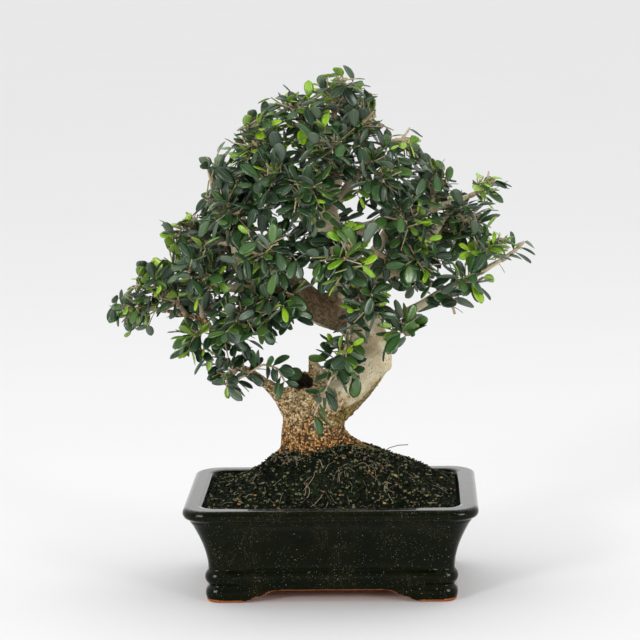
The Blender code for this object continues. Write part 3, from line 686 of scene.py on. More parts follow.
# The trimmed outline in the picture, and how far inside it and how raggedly the cut is made
TRIM = [
    (340, 73), (318, 82), (300, 92), (283, 96), (262, 107), (245, 123), (236, 138), (222, 149), (196, 153),
    (198, 163), (213, 172), (210, 190), (206, 208), (188, 218), (158, 223), (158, 232), (173, 240),
    (176, 250), (160, 257), (145, 262), (138, 277), (130, 289), (111, 309), (111, 320), (133, 332),
    (163, 330), (180, 338), (168, 345), (172, 353), (208, 371), (226, 394), (250, 402), (272, 396),
    (300, 384), (318, 436), (336, 434), (366, 372), (392, 350), (405, 340), (424, 320), (442, 306),
    (458, 308), (497, 290), (494, 277), (510, 266), (530, 256), (530, 240), (515, 234), (485, 228),
    (470, 214), (492, 216), (504, 204), (502, 176), (475, 176), (458, 185), (444, 178), (431, 156),
    (418, 136), (386, 134), (371, 112), (377, 100), (362, 84),
]
CROWN_MIDDLE = (320, 255)
CUT_SHARE, CUT_RAGGED, CUT_GRAIN = 0.975, 0.085, 8.0


def pair_spots(points):
    """Places down a shoot from its tip, with the direction there and how many pairs down it is."""
    spots, length = measured(points)
    found, back = [], 0.5
    while back < length - 3.0:
        place, direction, _ = walk(spots, 1 - back / length)
        found.append((place, direction, len(found)))
        back += PAIR_SPACING
    return found


def grow_twiglets(room, draw, spray):
    """Short side shoots along the wood, wherever there is room, but not past the spray's own edge."""
    found, owner = [], spray["owner"]
    for points in (spray["axis"], *spray["twigs"]):
        spots, _ = measured(points)
        for share in TWIGLET_SHARES:
            place, direction, _ = walk(spots, share)
            for _ in range(TWIGLET_TRIES):
                side = side_of(direction, draw.uniform(0, 2 * math.pi))
                way = (direction * 0.6 + side + Vector((0, 0, 0.3))).normalized()
                tip = place + way * draw.uniform(*TWIGLET)
                if (tip - spray["centre"]).length > spray["spread"] * PAST_SPREAD or not in_outline(tip):
                    continue
                if room.margin(place.lerp(tip, 0.3), tip, 1.0, (owner,)) > 0:
                    if room.margin(place.lerp(tip, 0.6), tip, 1.5, ()) > 0:
                        room.add(place, tip, (0.8, 0.6), owner)
                        found.append([place, place.lerp(tip, 0.5), tip])
                        break
    return found


def in_outline(place):
    """Whether a place is seen inside the ragged trim, by counting the edges to its left."""
    share = CUT_SHARE - CUT_RAGGED * noise.noise(Vector(place) / CUT_GRAIN)
    x, y = (c + (s - c) * share for s, c in zip(seen_at(place), CROWN_MIDDLE))
    inside = False
    for (ax, ay), (bx, by) in zip(TRIM, TRIM[1:] + TRIM[:1]):
        if (ay > y) != (by > y) and x > ax + (y - ay) * (bx - ax) / (by - ay):
            inside = not inside
    return inside


def within_frame(place):
    """Whether a leaf's tip stays in the trimmed outline and in the solids' own box."""
    box = zip(cad_box[0], at(*place), cad_box[1])
    return in_outline(place) and all(low - PAST_FRAME < c < high + PAST_FRAME for low, c, high in box)


def grow_pairs(room, draw, shoots, owner, young_share, leaves):
    """Opposite pairs down every shoot, except where wood or another leaf is in the way."""
    for points in shoots:
        fresh = draw.random() < young_share
        turn = draw.uniform(0, math.pi)
        for place, direction, down in pair_spots(points):
            young = max(0.0, 1.0 - 0.42 * down - draw.uniform(0, 0.25)) if fresh else 0.0
            outward = (place - Vector(HEART)).normalized()
            for hand in (0, math.pi):
                for attempt in range(PAIR_TRIES):
                    side = side_of(direction, turn + hand + draw.uniform(-0.5, 0.5) * (1 + attempt))
                    lean = math.radians(draw.uniform(*LEAF_LEAN) * (1 - 0.35 * young))
                    size = draw.uniform(*LEAF_SIZE) * (1 - 0.3 * young)
                    loose = Vector([draw.uniform(-0.75, 0.75) for _ in range(3)])
                    sky = (Vector((0, 0, 1)) + outward * draw.uniform(0.1, 1.3) + loose).normalized()
                    leaf = leaf_towards(draw, sky, place, direction, side, lean, size, WIDER_LEAF)
                    if within_frame(along_leaf(leaf, 1)) and leaf_fits(room, leaf, SLIM_LEAF, (owner,)):
                        keep_leaf(room, leaf, SLIM_LEAF, LEAVES_OF + owner)
                        leaves.append((*leaf, young))
                        break
            turn += math.pi / 2 + draw.uniform(-0.25, 0.25)


def hang_shoots(grown, room):
    """The few shoots that hang before the trunk, each from the nearest wood of its own spray."""
    for name, shoots in HANGING.items():
        spray = grown[name]
        for shoot in shoots:
            marks = [Vector(p) for p in shoot]
            wood = [p for points in (spray["axis"], *spray["twigs"]) for p in points]
            start = min(wood, key=lambda p: (p - marks[0]).length)
            room.add_line([start, *marks], (1.0, 0.8), spray["owner"])
            spray["twigs"].append([start, *marks])


def grow_foliage(grown, room):
    hang_shoots(grown, room)
    for spray in grown.values():
        spray["twigs"] = [points for points in spray["twigs"] if in_outline(points[-1])]
    for name, spray in grown.items():
        spray["twiglets"] = grow_twiglets(room, random.Random(f"foliage {name}"), spray)
    for name, spray in grown.items():
        draw = random.Random(f"leaves {name}")
        share = YOUNG_SPRAYS.get(name, YOUNG_ELSEWHERE)
        aged = [(*leaf, 0.9 if draw.random() < share * 0.7 else 0.0) for leaf in spray["leaves"]]
        spray["leaves"] = [leaf for leaf in aged if in_outline(along_leaf(leaf, 0.8))]
        shoots = [spray["axis"], *spray["twigs"], *spray["twiglets"]]
        grow_pairs(room, draw, shoots, spray["owner"], share, spray["leaves"])


grow_foliage(grown, ROOM)
print("leaves in all", sum(len(spray["leaves"]) for spray in grown.values()))

# %% [markdown]
# ## One leaf
# The real leaf is a leathery oval about 18 mm long on a short stalk. Its two halves rise a little from
# the midrib, its tip bends down and its edge rolls under. A grid bent by a few formulas has all of
# that in few faces, which matters when there are thousands. The sheet is doubled and welded along its
# edge, so every leaf is a closed, slightly lens-shaped body. The leaves of a spray are stamped from
# four such shapes, and each carries its shade and age as attributes that the finish reads.

# %% The leaf's shape
ROWS, COLUMNS = 7, 4
OUTLINE = (0.05, 0.3, 0.72, 0.95, 1.0, 0.93, 0.68, 0.16)
ALONG = (0.0, 0.14, 0.27, 0.44, 0.6, 0.77, 0.9, 1.0)
UPPER, LOWER = 0.12, -0.28


def leaf_template(fold, droop, curl, lean):
    """A leaf 1 long and 1 wide. Its third measure is in millimetres."""
    bm = bmesh.new()
    uv = bm.loops.layers.uv.new("leaf")
    bmesh.ops.create_grid(bm, x_segments=COLUMNS, y_segments=ROWS, size=1.0)
    under = bm.verts.layers.float.new("under")
    spots = {}
    for v in bm.verts:
        across, row = v.co.x, round((v.co.y + 1) / 2 * ROWS)
        spots[v] = (ALONG[row], across)
        rise = fold * abs(across) * OUTLINE[row] - curl * abs(across) ** 3 * OUTLINE[row]
        t = ALONG[row]
        v.co = (t, across * OUTLINE[row] / 2 + lean * t * t, rise - droop * t * t)
    for face in bm.faces:
        for loop in face.loops:
            loop[uv].uv = (spots[loop.vert][0], spots[loop.vert][1] / 2 + 0.5)
    copied = bmesh.ops.duplicate(bm, geom=bm.faces[:])["geom"]
    lower = [g for g in copied if isinstance(g, bmesh.types.BMVert)]
    bmesh.ops.reverse_faces(bm, faces=[g for g in copied if isinstance(g, bmesh.types.BMFace)])
    for v in bm.verts:
        v[under] = 0.5 if v.is_boundary else 1.0 if v in lower else 0.0
        if not v.is_boundary:
            v.co.z += LOWER if v in lower else UPPER
    bmesh.ops.remove_doubles(bm, verts=bm.verts, dist=0.0001)
    return as_mesh("leaf_shape", bm)


LEAF_BENDS = ((1.3, 1.6, 0.5, 0.02), (0.8, 2.8, 0.9, -0.05), (1.7, 0.7, 0.4, 0.06), (0.5, 3.8, 0.2, 0.0))
TEMPLATES = [leaf_template(*bends) for bends in LEAF_BENDS]
print("faces in a leaf", len(TEMPLATES[0].polygons))


# %% [markdown]
# ## The leaf's finish
# Old leaves are a deep blue green with a waxy sheen, and no two are quite alike. The midrib is a thin
# pale line, the side veins only just show, and the edge is paler than the blade: partly the edge's own
# paler tone and partly a painted highlight along the rim. The underside is a dull grey green. New
# leaves are yellow green and thinner. The finish reads how far along and across the leaf it is from
# the leaf's own map, and which side it is on from an attribute.

# %% Leaf finish
def leaf_finish():
    leaf = Finish("leaf", Metallic=0.0, Coat_Weight=0.2, Coat_Roughness=0.22, Specular_IOR_Level=0.34)
    place = leaf.node("ShaderNodeUVMap", {"uv_map": "leaf"})
    along = leaf.node("ShaderNodeSeparateXYZ", inputs={0: place}, output="X")
    across = leaf.node("ShaderNodeSeparateXYZ", inputs={0: place}, output="Y")
    side = (across - 0.5).absolute() * 2.0
    shade, young, under = (leaf.attribute(n) for n in ("shade", "young", "under"))
    midrib = 1.0 - side.between(0.015, 0.075)
    vein_wave = (along * 62.0 - side * 26.0).wave()
    veins = vein_wave.between(0.72, 1.0) * (1.0 - side.between(0.55, 0.95)) * 0.5
    # The edge: a paler band along the leaf's rim, partly its own tone and partly a painted highlight
    edge = under.between(0.3, 0.47) * (1.0 - under.between(0.53, 0.62))
    mottle = leaf.noise(3.2, 4.0, 0.6)
    dark = leaf.ramp(shade * 0.75 + mottle * 0.32, [(0.12, 0.0035, 0.017, 0.005), (0.42, 0.011, 0.047, 0.0105),
                                                    (0.68, 0.03, 0.1, 0.016), (1.0, 0.085, 0.19, 0.02)])
    fresh = leaf.ramp(mottle * 0.6 + shade * 0.5, [(0.2, 0.15, 0.36, 0.006), (0.6, 0.32, 0.58, 0.008),
                                                   (1.0, 0.52, 0.72, 0.015)])
    top = leaf.over(dark, (young.between(0.05, 0.75), fresh), (veins * 0.35, (0.06, 0.13, 0.045)),
                    (midrib * 0.55, (0.12, 0.2, 0.075)))
    pale = leaf.ramp(shade * 0.6 + mottle * 0.4, [(0.2, 0.065, 0.105, 0.07), (0.9, 0.15, 0.205, 0.135)])
    pale = leaf.over(pale, (young.between(0.1, 0.8), (0.24, 0.4, 0.05)), (midrib * 0.6, (0.19, 0.26, 0.15)))
    # The edge's pale green is laid on here: the margin's tone and a painted highlight along the rim
    colour = leaf.over(top, (under.between(0.42, 0.58), pale), (edge * 0.35, (0.1, 0.17, 0.075)))
    rough = 0.34 + leaf.noise(1.4, 2.0) * 0.16 + under.between(0.4, 0.6) * 0.26
    bump = leaf.noise(0.9, 2.0) * 0.25 - midrib * 0.7 - veins * 0.3
    return leaf.end(colour, rough, bump, 0.12)


LEAF = leaf_finish()
print("leaf finish", len(LEAF.node_tree.nodes), "nodes")

# %% [markdown]
# ## Twigs
# A twig is knuckled: each pair of leaves leaves a swelling where it grew. The tubes are drawn out ring
# by ring along the growing rule's own lines, with every other ring fatter for the knuckles. The oldest
# wood is grey tan and cracked, and many of the short side shoots are partly green like the leaves.

# %% Twig finish
def twig_finish():
    twig = Finish("twig", Metallic=0.0, Specular_IOR_Level=0.2)
    young = twig.attribute("young")
    grain = twig.noise(1.1, 4.0, 0.65)
    patches = twig.noise(7.0, 3.0)
    bark = twig.ramp(grain * 0.55 + patches * 0.5, [(0.22, 0.17, 0.11, 0.062), (0.42, 0.42, 0.305, 0.19),
                                                    (0.62, 0.62, 0.5, 0.345), (0.85, 0.76, 0.67, 0.52)])
    green = twig.mix(grain, (0.16, 0.24, 0.045), (0.3, 0.36, 0.07))
    colour = twig.mix(young.between(0.35, 0.9), bark, green)
    return twig.end(colour, 0.62 + grain * 0.25, grain + patches * 0.5, 0.25)


TWIG = twig_finish()

# %% Sprays
KNUCKLE, RING_STEP = 0.16, 3.4
AXIS_ENDS, TWIG_ENDS, TWIGLET_ENDS = (2.3, 1.05), (1.15, 0.72), (0.75, 0.5)


def shoot_rings(points, radii):
    """A shoot's line in short steps, with its radius at each: fatter at every joint."""
    spots, length = measured(points)
    steps = max(3, round(length / RING_STEP))
    marks, sizes = [], []
    for i in range(steps + 1):
        share = i / steps
        marks.append(walk(spots, share)[0])
        sizes.append((radii[0] + (radii[1] - radii[0]) * share) * (1.0 + KNUCKLE * (i % 2)))
    return smoothed(marks), sizes


def smoothed(marks):
    return [marks[0], *((a + b * 2 + c) / 4 for a, b, c in zip(marks, marks[1:], marks[2:])), marks[-1]]


def added(bm, mesh):
    """Put a mesh into a bmesh and give back the points that came with it."""
    start = len(bm.verts)
    bm.from_mesh(mesh)
    bm.verts.ensure_lookup_table()
    return bm.verts[start:]


def stamp(bm, leaf, draw, layers):
    place, way, face, length, width, shade, young = leaf
    fresh = added(bm, draw.choice(TEMPLATES))
    columns = (way * length * MM, face.cross(way) * width * MM, face * (length / 18.0) * MM)
    spot = Matrix.Translation(at(*place)) @ Matrix(columns).transposed().to_4x4()
    bmesh.ops.transform(bm, matrix=spot, verts=fresh)
    for v in fresh:
        v[layers[0]], v[layers[1]] = shade, young


def make_spray(name, spray):
    draw = random.Random(f"spray {name}")
    bm = bmesh.new()
    layers = [bm.verts.layers.float.new(n) for n in ("shade", "young")]
    bm.verts.layers.float.new("under")
    bm.loops.layers.uv.new("leaf")
    wood = (([spray["axis"]], AXIS_ENDS, 6), (spray["twigs"], TWIG_ENDS, 6),
            (spray["twiglets"], TWIGLET_ENDS, 5))
    for order, (shoots, ends, sides) in enumerate(wood):
        for points in shoots:
            start = len(bm.verts)
            sweep(bm, *shoot_rings(points, ends), sides)
            bm.verts.ensure_lookup_table()
            green = draw.uniform(0.1, 0.9) * (order / 2)
            for v in bm.verts[start:]:
                v[layers[0]], v[layers[1]] = draw.random(), green
    bark_faces = len(bm.faces)
    for leaf in spray["leaves"]:
        stamp(bm, leaf, draw, layers)
    bm.faces.ensure_lookup_table()
    for face in bm.faces[:bark_faces]:
        face.material_index = 1
    return finished(f"{name}_spray", bm, [LEAF, TWIG], [f"spray_{name}"])


for name, spray in grown.items():
    make_spray(name, spray)
print("sprays made")

# %% [markdown]
# ## The pot
# A tray pot of this kind is pressed in a mould. Its outline is a rounded rectangle, so it can be drawn
# out ring by ring from the foot, up the bulging wall, over the lip and down the inside. The long walls
# have a shallow sunk panel that ends in an arched crease, and the apron between the feet is cut to a
# bracket. The glaze is nearly black, tinted olive-brown as a painted reflection of a brown table. It
# runs thin and brown over every ridge, a broad brown band over the wall is painted reflection as well,
# and it stops short of the foot, where the red clay shows.

# %% The pot's measures
POT_HALF_LENGTH, POT_HALF_DEPTH, POT_HEIGHT = 125.0, 93.0, 83.0
RIM_CORNER, POT_FLOOR = 22.0, 17.0
# The wall's profile outside and inside, each point as millimetres in from the rim and up
POT_OUTSIDE = [
    (20.6, 0.0), (19.0, 1.2), (18.1, 4.0), (17.7, 7.5), (18.3, 11.0), (20.0, 13.2), (20.3, 14.6),
    (18.9, 16.4), (17.7, 18.8), (17.3, 21.5), (17.9, 24.6), (19.7, 27.0), (20.2, 29.0), (19.6, 36.0),
    (17.2, 46.0), (13.4, 56.0), (8.6, 66.0), (5.9, 70.4), (4.9, 72.4), (3.6, 73.4), (1.4, 74.6),
    (0.1, 77.0), (0.0, 79.6), (1.2, 81.9), (3.4, 82.9), (6.0, POT_HEIGHT),
]
POT_INSIDE = [(11.5, POT_HEIGHT), (14.0, 82.7), (16.5, 80.5), (22.0, 64.0), (28.0, 44.0), (29.0, POT_FLOOR)]
# Where the glaze runs thin, and last a broad band of painted reflection over the wall: the height of
# each, how far that reaches and how strong it is
THIN_GLAZE_AND_REFLECTION_BANDS = ((1.5, 2.2, 0.6), (7.5, 3.5, 0.5), (21.5, 3.5, 0.5), (74.6, 1.6, 0.9), (82.4, 1.4, 0.6),
          (45.0, 18.0, 0.45))
# Half of the opening between the feet, and the sunk panel and the straight band of a long wall
BRACKET = [(77, -1), (77, 0.6), (73.5, 1.1), (70, 2.2), (66.5, 3.6), (63.5, 5.0), (60, 5.7), (57, 6.8),
           (54.5, 8.5), (51, 10.0), (47, 10.8), (43, 11.0)]
SIDE_BRACKET_IN = 29.0
PANEL_END, PANEL_LOW, PANEL_HIGH, PANEL_DEEP = 88.0, 26.0, 66.0, 1.7
BAND_FLAT, BAND_TOP, BAND_CALM = 18.9, 30.0, 0.62
DRAIN_RADIUS, DRAIN_SPACING = 9.0, 90.0
# Faces that look down are bare clay below these heights, in the wall's zone and under the floor
WALL_ZONE, BARE_BELOW = 34, (11, 16)


def step_up(value, low, high):
    t = min(1.0, max(0.0, (value - low) / (high - low)))
    return t * t * (3 - 2 * t)


def line_through(padded, parts):
    """A smooth line through all points but the first and the last, which only lead in and out."""
    found = []
    for a, b, c, d in zip(padded, padded[1:], padded[2:], padded[3:]):
        for t in (i / parts for i in range(parts)):
            bent = (a * 2 - b * 5 + c * 4 - d) * t**2 + (b * 3 - a - c * 3 + d) * t**3
            found.append((b * 2 + (c - a) * t + bent) / 2)
    return [*found, padded[-2]]


def softened(profile):
    """A profile through its points without corners."""
    points = [Vector(p) for p in profile]
    return [tuple(p) for p in line_through([points[0], *points, points[-1]], 4)]


def panel(x, y, z):
    """How deep the sunk panel of a long wall is at a spot."""
    if abs(y) < POT_HALF_DEPTH - 30:
        return 0.0
    end = PANEL_END - 9.0 * max(0.0, (z - 50.0) / 14.5) ** 2
    inside = step_up(end - abs(x), -1.2, 1.6) * step_up(z, PANEL_LOW - 2, PANEL_LOW + 2)
    return PANEL_DEEP * inside * (1 - step_up(z, PANEL_HIGH - 3, PANEL_HIGH + 3))


def pot_outline(inset, height, sunk=0.0):
    """A rounded rectangle of points, so far in from the rim and so far up."""
    radius = max(RIM_CORNER - inset * 0.55, 8.0)
    across, deep = POT_HALF_LENGTH - inset - radius, POT_HALF_DEPTH - inset - radius
    found = []
    calm = BAND_CALM * (BAND_FLAT - inset) * (1 - step_up(height, BAND_TOP - 4, BAND_TOP + 2)) if sunk else 0.0
    for quarter, (sx, sy) in enumerate(((1, 1), (-1, 1), (-1, -1), (1, -1))):
        for i in range(13):
            angle = math.radians(90 * (quarter + i / 12))
            found.append((sx * across + radius * math.cos(angle), sy * deep + radius * math.sin(angle),
                          height))
        nx, ny = ((-1, 1), (-1, -1), (1, -1), (1, 1))[quarter]
        x, y = found[-1][:2]
        ex, ey = (nx * across, y) if quarter % 2 == 0 else (x, ny * deep)
        parts = 84 if quarter % 2 == 0 else 40
        inward = (0, -sy) if quarter % 2 == 0 else (1, 0) if quarter == 1 else (-1, 0)
        reach = across if quarter % 2 == 0 else deep
        for i in range(1, parts):
            bend = calm * step_up(min(i, parts - i) / parts * 2 * reach, 6, 34)
            found.append((x + (ex - x) * i / parts + inward[0] * bend,
                          y + (ey - y) * i / parts + inward[1] * bend, height))
    return [(x, y - math.copysign(sunk * panel(x, y, z), y), z) for x, y, z in found]


def prism(outline, along_x):
    """A cutter: an outline in a plane, drawn out right through the pot."""
    bm = bmesh.new()
    reach = POT_HALF_LENGTH * 1.2
    drawn_out(bm, [[(s, x, z) if along_x else (x, s, z) for x, z in outline] for s in (-reach, reach)])
    return bm


def worked(thing):
    """The bmesh that an object's modifiers make, with the object taken away."""
    bpy.context.view_layer.update()
    seen = thing.evaluated_get(bpy.context.evaluated_depsgraph_get())
    bm = bmesh.new()
    bm.from_mesh(bpy.data.meshes.new_from_object(seen))
    bpy.data.objects.remove(thing, do_unlink=True)
    return bm


def cut_away(bm, cutters):
    whole = as_object("whole", bm)
    tools = [as_object("cutter", cutter) for cutter in cutters]
    for tool in tools:
        difference = whole.modifiers.new("cut", "BOOLEAN")
        difference.operation, difference.solver, difference.object = "DIFFERENCE", "MANIFOLD", tool
    result = worked(whole)
    for tool in tools:
        bpy.data.objects.remove(tool, do_unlink=True)
    return result


def glaze_finish():
    glaze = Finish("glaze", Metallic=0.0, Coat_Weight=1.0, Coat_Roughness=0.045, Coat_IOR=1.17,
                   Specular_IOR_Level=0.02)
    thin, bare = glaze.attribute("thin"), glaze.attribute("bare")
    cloud, grain, fine = (glaze.noise(*n) for n in ((26.0, 4.0, 0.6), (3.0, 5.0, 0.65), (0.9, 3.0, 0.6)))
    # The glaze's own near-black green, tinted olive-brown as a painted reflection of a brown table
    body = glaze.ramp(cloud * 0.7 + grain * 0.35, [(0.3, 0.0012, 0.003, 0.0009), (0.5, 0.0034, 0.0052, 0.001),
                                                   (0.75, 0.0095, 0.009, 0.0014)])
    # Brown where the glaze runs thin on the ridges, and painted reflection on the broad band over the wall
    thin_glaze_and_painted_reflection = thin * (grain * 0.8 + cloud * 0.6)
    large = (1.0 - glaze.cells(4.4).between(0.05, 0.09)) * glaze.noise(17.0, 1.0).between(0.46, 0.55)
    small = (1.0 - glaze.cells(1.7).between(0.08, 0.17)) * glaze.noise(11.0, 2.0).between(0.42, 0.54)
    speck = large.larger(small * 0.6)
    # Paler, rougher mottling along the very top of the rim
    pale_rim_top_mottle = glaze.height().between(82.3, 82.9) * (cloud * 0.6 + grain * 0.7).between(0.5, 0.85)
    scratch = glaze.noise(6.0, 2.0, 0.5, place=glaze.stretched(2.4, 1.0, 0.22))
    scratched = (1.0 - (scratch - 0.5).absolute().between(0.002, 0.008)) * cloud.between(0.52, 0.6)
    clay = glaze.ramp(grain * 0.6 + fine * 0.5, [(0.25, 0.18, 0.045, 0.014), (0.55, 0.42, 0.125, 0.035),
                                                 (0.85, 0.6, 0.24, 0.085)])
    stop = (bare + grain * 0.5 - 0.25).between(0.32, 0.62)
    colour = glaze.over(
        body, (thin_glaze_and_painted_reflection.between(0.22, 0.95), (0.024, 0.0155, 0.005)), (speck * 0.7, (0.5, 0.5, 0.45)),
        (pale_rim_top_mottle * 0.2, (0.3, 0.3, 0.28)), (scratched * 0.25, (0.22, 0.22, 0.19)), (stop, clay))
    rough = 0.12 + cloud * 0.07 + speck * 0.35 + scratched * 0.2 + pale_rim_top_mottle * 0.12 + stop * 0.66
    bump = cloud * 0.5 + grain * 0.12 + stop * (fine * 0.5 - 0.25) - scratched * 0.03
    return glaze.end(colour, rough, bump, 0.35, coat=1.0 - stop)


# %% Make the pot
def make_pot():
    bm = bmesh.new()
    thin = bm.verts.layers.float.new("thin")
    bm.verts.layers.float.new("bare")
    profile = [(*p, 1.0) for p in softened(POT_OUTSIDE)] + [(*p, 0.0) for p in softened(POT_INSIDE)[1:]]
    for ring, (inset, height, outer) in zip(drawn_out(bm, [pot_outline(*spot) for spot in profile]), profile):
        # The thin share holds thin glaze on the ridges and the broad wall band of painted reflection
        if outer or height > 79:
            for v in ring:
                v[thin] = max(s * max(0.0, 1 - abs(height - z) / w) for z, w, s in THIN_GLAZE_AND_REFLECTION_BANDS)
    drains = []
    for x in (-DRAIN_SPACING / 2, DRAIN_SPACING / 2):
        drains.append(bmesh.new())
        bmesh.ops.create_cone(
            drains[-1], cap_ends=True, segments=48, radius1=DRAIN_RADIUS * MM, radius2=DRAIN_RADIUS * MM,
            depth=2 * POT_FLOOR * MM, matrix=Matrix.Translation(at(x, 0, POT_FLOOR / 2)))
    front = [*BRACKET, *((-x, z) for x, z in reversed(BRACKET))]
    side = [(x - math.copysign(SIDE_BRACKET_IN, x), z) for x, z in front]
    bm = cut_away(bm, [prism(front, False), prism(side, True), *drains])
    bare = bm.verts.layers.float["bare"]
    for face in bm.faces:
        middle = face.calc_center_median() / MM - Vector((*POT_AT, 0))
        outer = abs(middle.x) > POT_HALF_LENGTH - WALL_ZONE or abs(middle.y) > POT_HALF_DEPTH - WALL_ZONE
        if face.normal.z < -0.35 and middle.z < BARE_BELOW[not outer]:
            for v in face.verts:
                v[bare] = 1.0
    for v in bm.verts:
        v[bare] = max(v[bare], 1.0 - step_up(v.co.z / MM, 0.6, 2.2)) if v.co.z < 0.004 else v[bare]
    return finished("glazed_pot", bm, [glaze_finish()], ["pot"], crease=38)


pot = make_pot()
print("pot faces", len(pot.data.polygons))

# %% [markdown]
# ## Trunk and boughs
# An old olive has a stump of dead wood, a young limb beside it and a corky foot. The thick limbs are
# swept as tubes, run together by a voxel skin and smoothed, then the boughs are sunk in and skinned
# again with a finer grid, so that every fork is grown and not stuck on. The bark is real relief: each
# point of the skin moves in or out by how corky, warty or smooth that part is, and the same measures
# are kept as attributes, so that the colours follow the relief.

# %% The trunk's skin
HOLLOW_AT, HOLLOW_SIZE = (-25, -17, 180), (10.5, 12, 7.5)
KNEE = [(26, 1, 201, 17), (38, 0, 197, 15), (42, -1, 190, 12), (44.5, -1, 184, 8.5)]
SLIMMER = {"low_left": 0.78}
SNAG = [(-12, -10, 176, 8), (-11, -10, 187, 6), (-15, -8, 194, 4.2), (-16, -7, 200, 3.2)]


def tubes(bm, limbs, sides):
    """A round tube along each limb, on a smooth line through its points."""
    for points in limbs:
        spots = [Vector(p) for p in points]
        line = line_through([spots[0] * 2 - spots[1], *spots, spots[-1] * 2 - spots[-2]], 3)
        sweep(bm, [p[:3] for p in line], [p[3] for p in line], sides)


def skinned(bm, voxel, smoothing):
    """One closed skin over everything in a bmesh, from cubes of so many millimetres, then smoothed."""
    thing = as_object("skin", bm)
    skin = thing.modifiers.new("skin", "REMESH")
    skin.mode, skin.voxel_size = "VOXEL", voxel * MM
    soften = thing.modifiers.new("soften", "SMOOTH")
    soften.factor, soften.iterations = 0.5, smoothing
    return worked(thing)


def trunk_skin():
    bm = bmesh.new()
    tubes(bm, [*LIMBS, KNEE, SNAG], 28)
    bm = skinned(bm, 1.8, 14)
    slimmed = [[(*p[:3], p[3] * SLIMMER.get(name, 1.0)) for p in points] for name, points in BOUGHS.items()]
    tubes(bm, [*slimmed, CUT_STUB], 14)
    return skinned(bm, 1.15, 3)


# %% The bark's relief
def off_line(spot, start, end):
    """How far a spot in the plane of the picture is from a line between two others."""
    a, b, p = Vector(start), Vector(end), Vector(spot)
    share = min(1.0, max(0.0, (p - a).dot(b - a) / (b - a).length_squared))
    return (p - a.lerp(b, share)).length


def bark_marks(p):
    """How corky, mossy, brown and rotten the bark is at a place in millimetres; the mossy share also paints
    shade under the knee.
    """
    x, y, z = p
    sway = noise.noise(p / 19.0)
    ragged = sway + 0.6 * noise.noise(p / 5.0)
    cork = 1 - step_up(z + 16 * ragged - 0.9 * max(0, -x - 5) + 0.75 * max(0, x - 4), 150, 186)
    cork = max(cork, 1 - step_up(math.dist(p, (-24, -6, 172)) + 5 * ragged, 20, 30))
    # Painted shade: the underside of the right limb's knee is darkened with mossy tones where the bend hangs
    # over it
    under = 1 - step_up(off_line((x, z), (52, 175), (12, 149)) + 5 * ragged, 3, 12)
    flare = (1 - step_up(math.dist((x, z), (28, 112)) + 9 * ragged, 10, 24)) * 0.8
    knots = 1 - step_up(math.dist((x, z), (34, 205)) + 6 * ragged, 3, 9)
    brown = 1 - step_up(off_line((x, z), (-40, 262), (4, 238)) + 7 * ragged, 10, 20)
    brown = max(brown, knots * 0.5, 0.55 * step_up(ragged, 0.15, 0.6) * step_up(z, 200, 240))
    rot = 1 - step_up(math.dist(p, (-24, -16, 183)) + 5 * ragged, 6, 13)
    return cork, max(under, flare), brown, rot


def bark_rise(p, cork, moss, brown, rot):
    """How far the bark stands out there in millimetres."""
    grains = noise.voronoi(p / 3.1)[0]
    grain = 1 - min(1.0, grains[0] * 1.35)
    lumps = noise.fractal(p / 14.0, 0.9, 2.0, 3)
    grit = noise.fractal(p / 2.6, 0.9, 2.1, 2)
    rough = max(cork, brown, moss, rot)
    return rough * (grain + 0.45 * grit + 0.9 * lumps - 0.3) + (1 - rough) * (0.9 * lumps + 0.12 * grit)


def hollowed(p):
    """The rotten hollow: how its wall moves in, how deep a place is in it and how much on its lip."""
    offset = [(a - b) / c for a, b, c in zip(p, HOLLOW_AT, HOLLOW_SIZE)]
    far = math.sqrt(sum(a * a for a in offset)) + 0.3 * noise.noise(p / 5.0) + 0.12 * noise.noise(p / 1.8)
    depth = max(0.0, 1 - far * far)
    lip = math.exp(-(((far - 1.2) / 0.22) ** 2)) if p.y < 0 else 0.0
    return Vector((2.0, 15.0, -3.0)) * depth, depth, lip


def make_trunk():
    bm = trunk_skin()
    bm.normal_update()
    layers = [bm.verts.layers.float.new(name) for name in ("cork", "moss", "brown", "rot")]
    moves = []
    for v in bm.verts:
        p = v.co / MM - Vector((*POT_AT, 0))
        marks = bark_marks(p)
        rise = bark_rise(p, *marks)
        thin = 1.0 if p.z < 215 and p.x > -42 else 0.4
        sunk, depth, lip = hollowed(p)
        sunk.z -= 5.0 * math.exp(-((p.x - 24) ** 2 + (p.z - 136) ** 2) / 15**2)
        moves.append((v, v.normal * (rise * thin + 1.6 * lip) * MM + sunk * MM))
        marks = (*marks[:3], max(marks[3] * (1 - lip), min(1.0, depth * 3)))
        for layer, value in zip(layers, marks):
            v[layer] = value
    for v, move in moves:
        v.co += move
    return finished("bark_of_trunk", bm, [bark_finish()], ["trunk"])


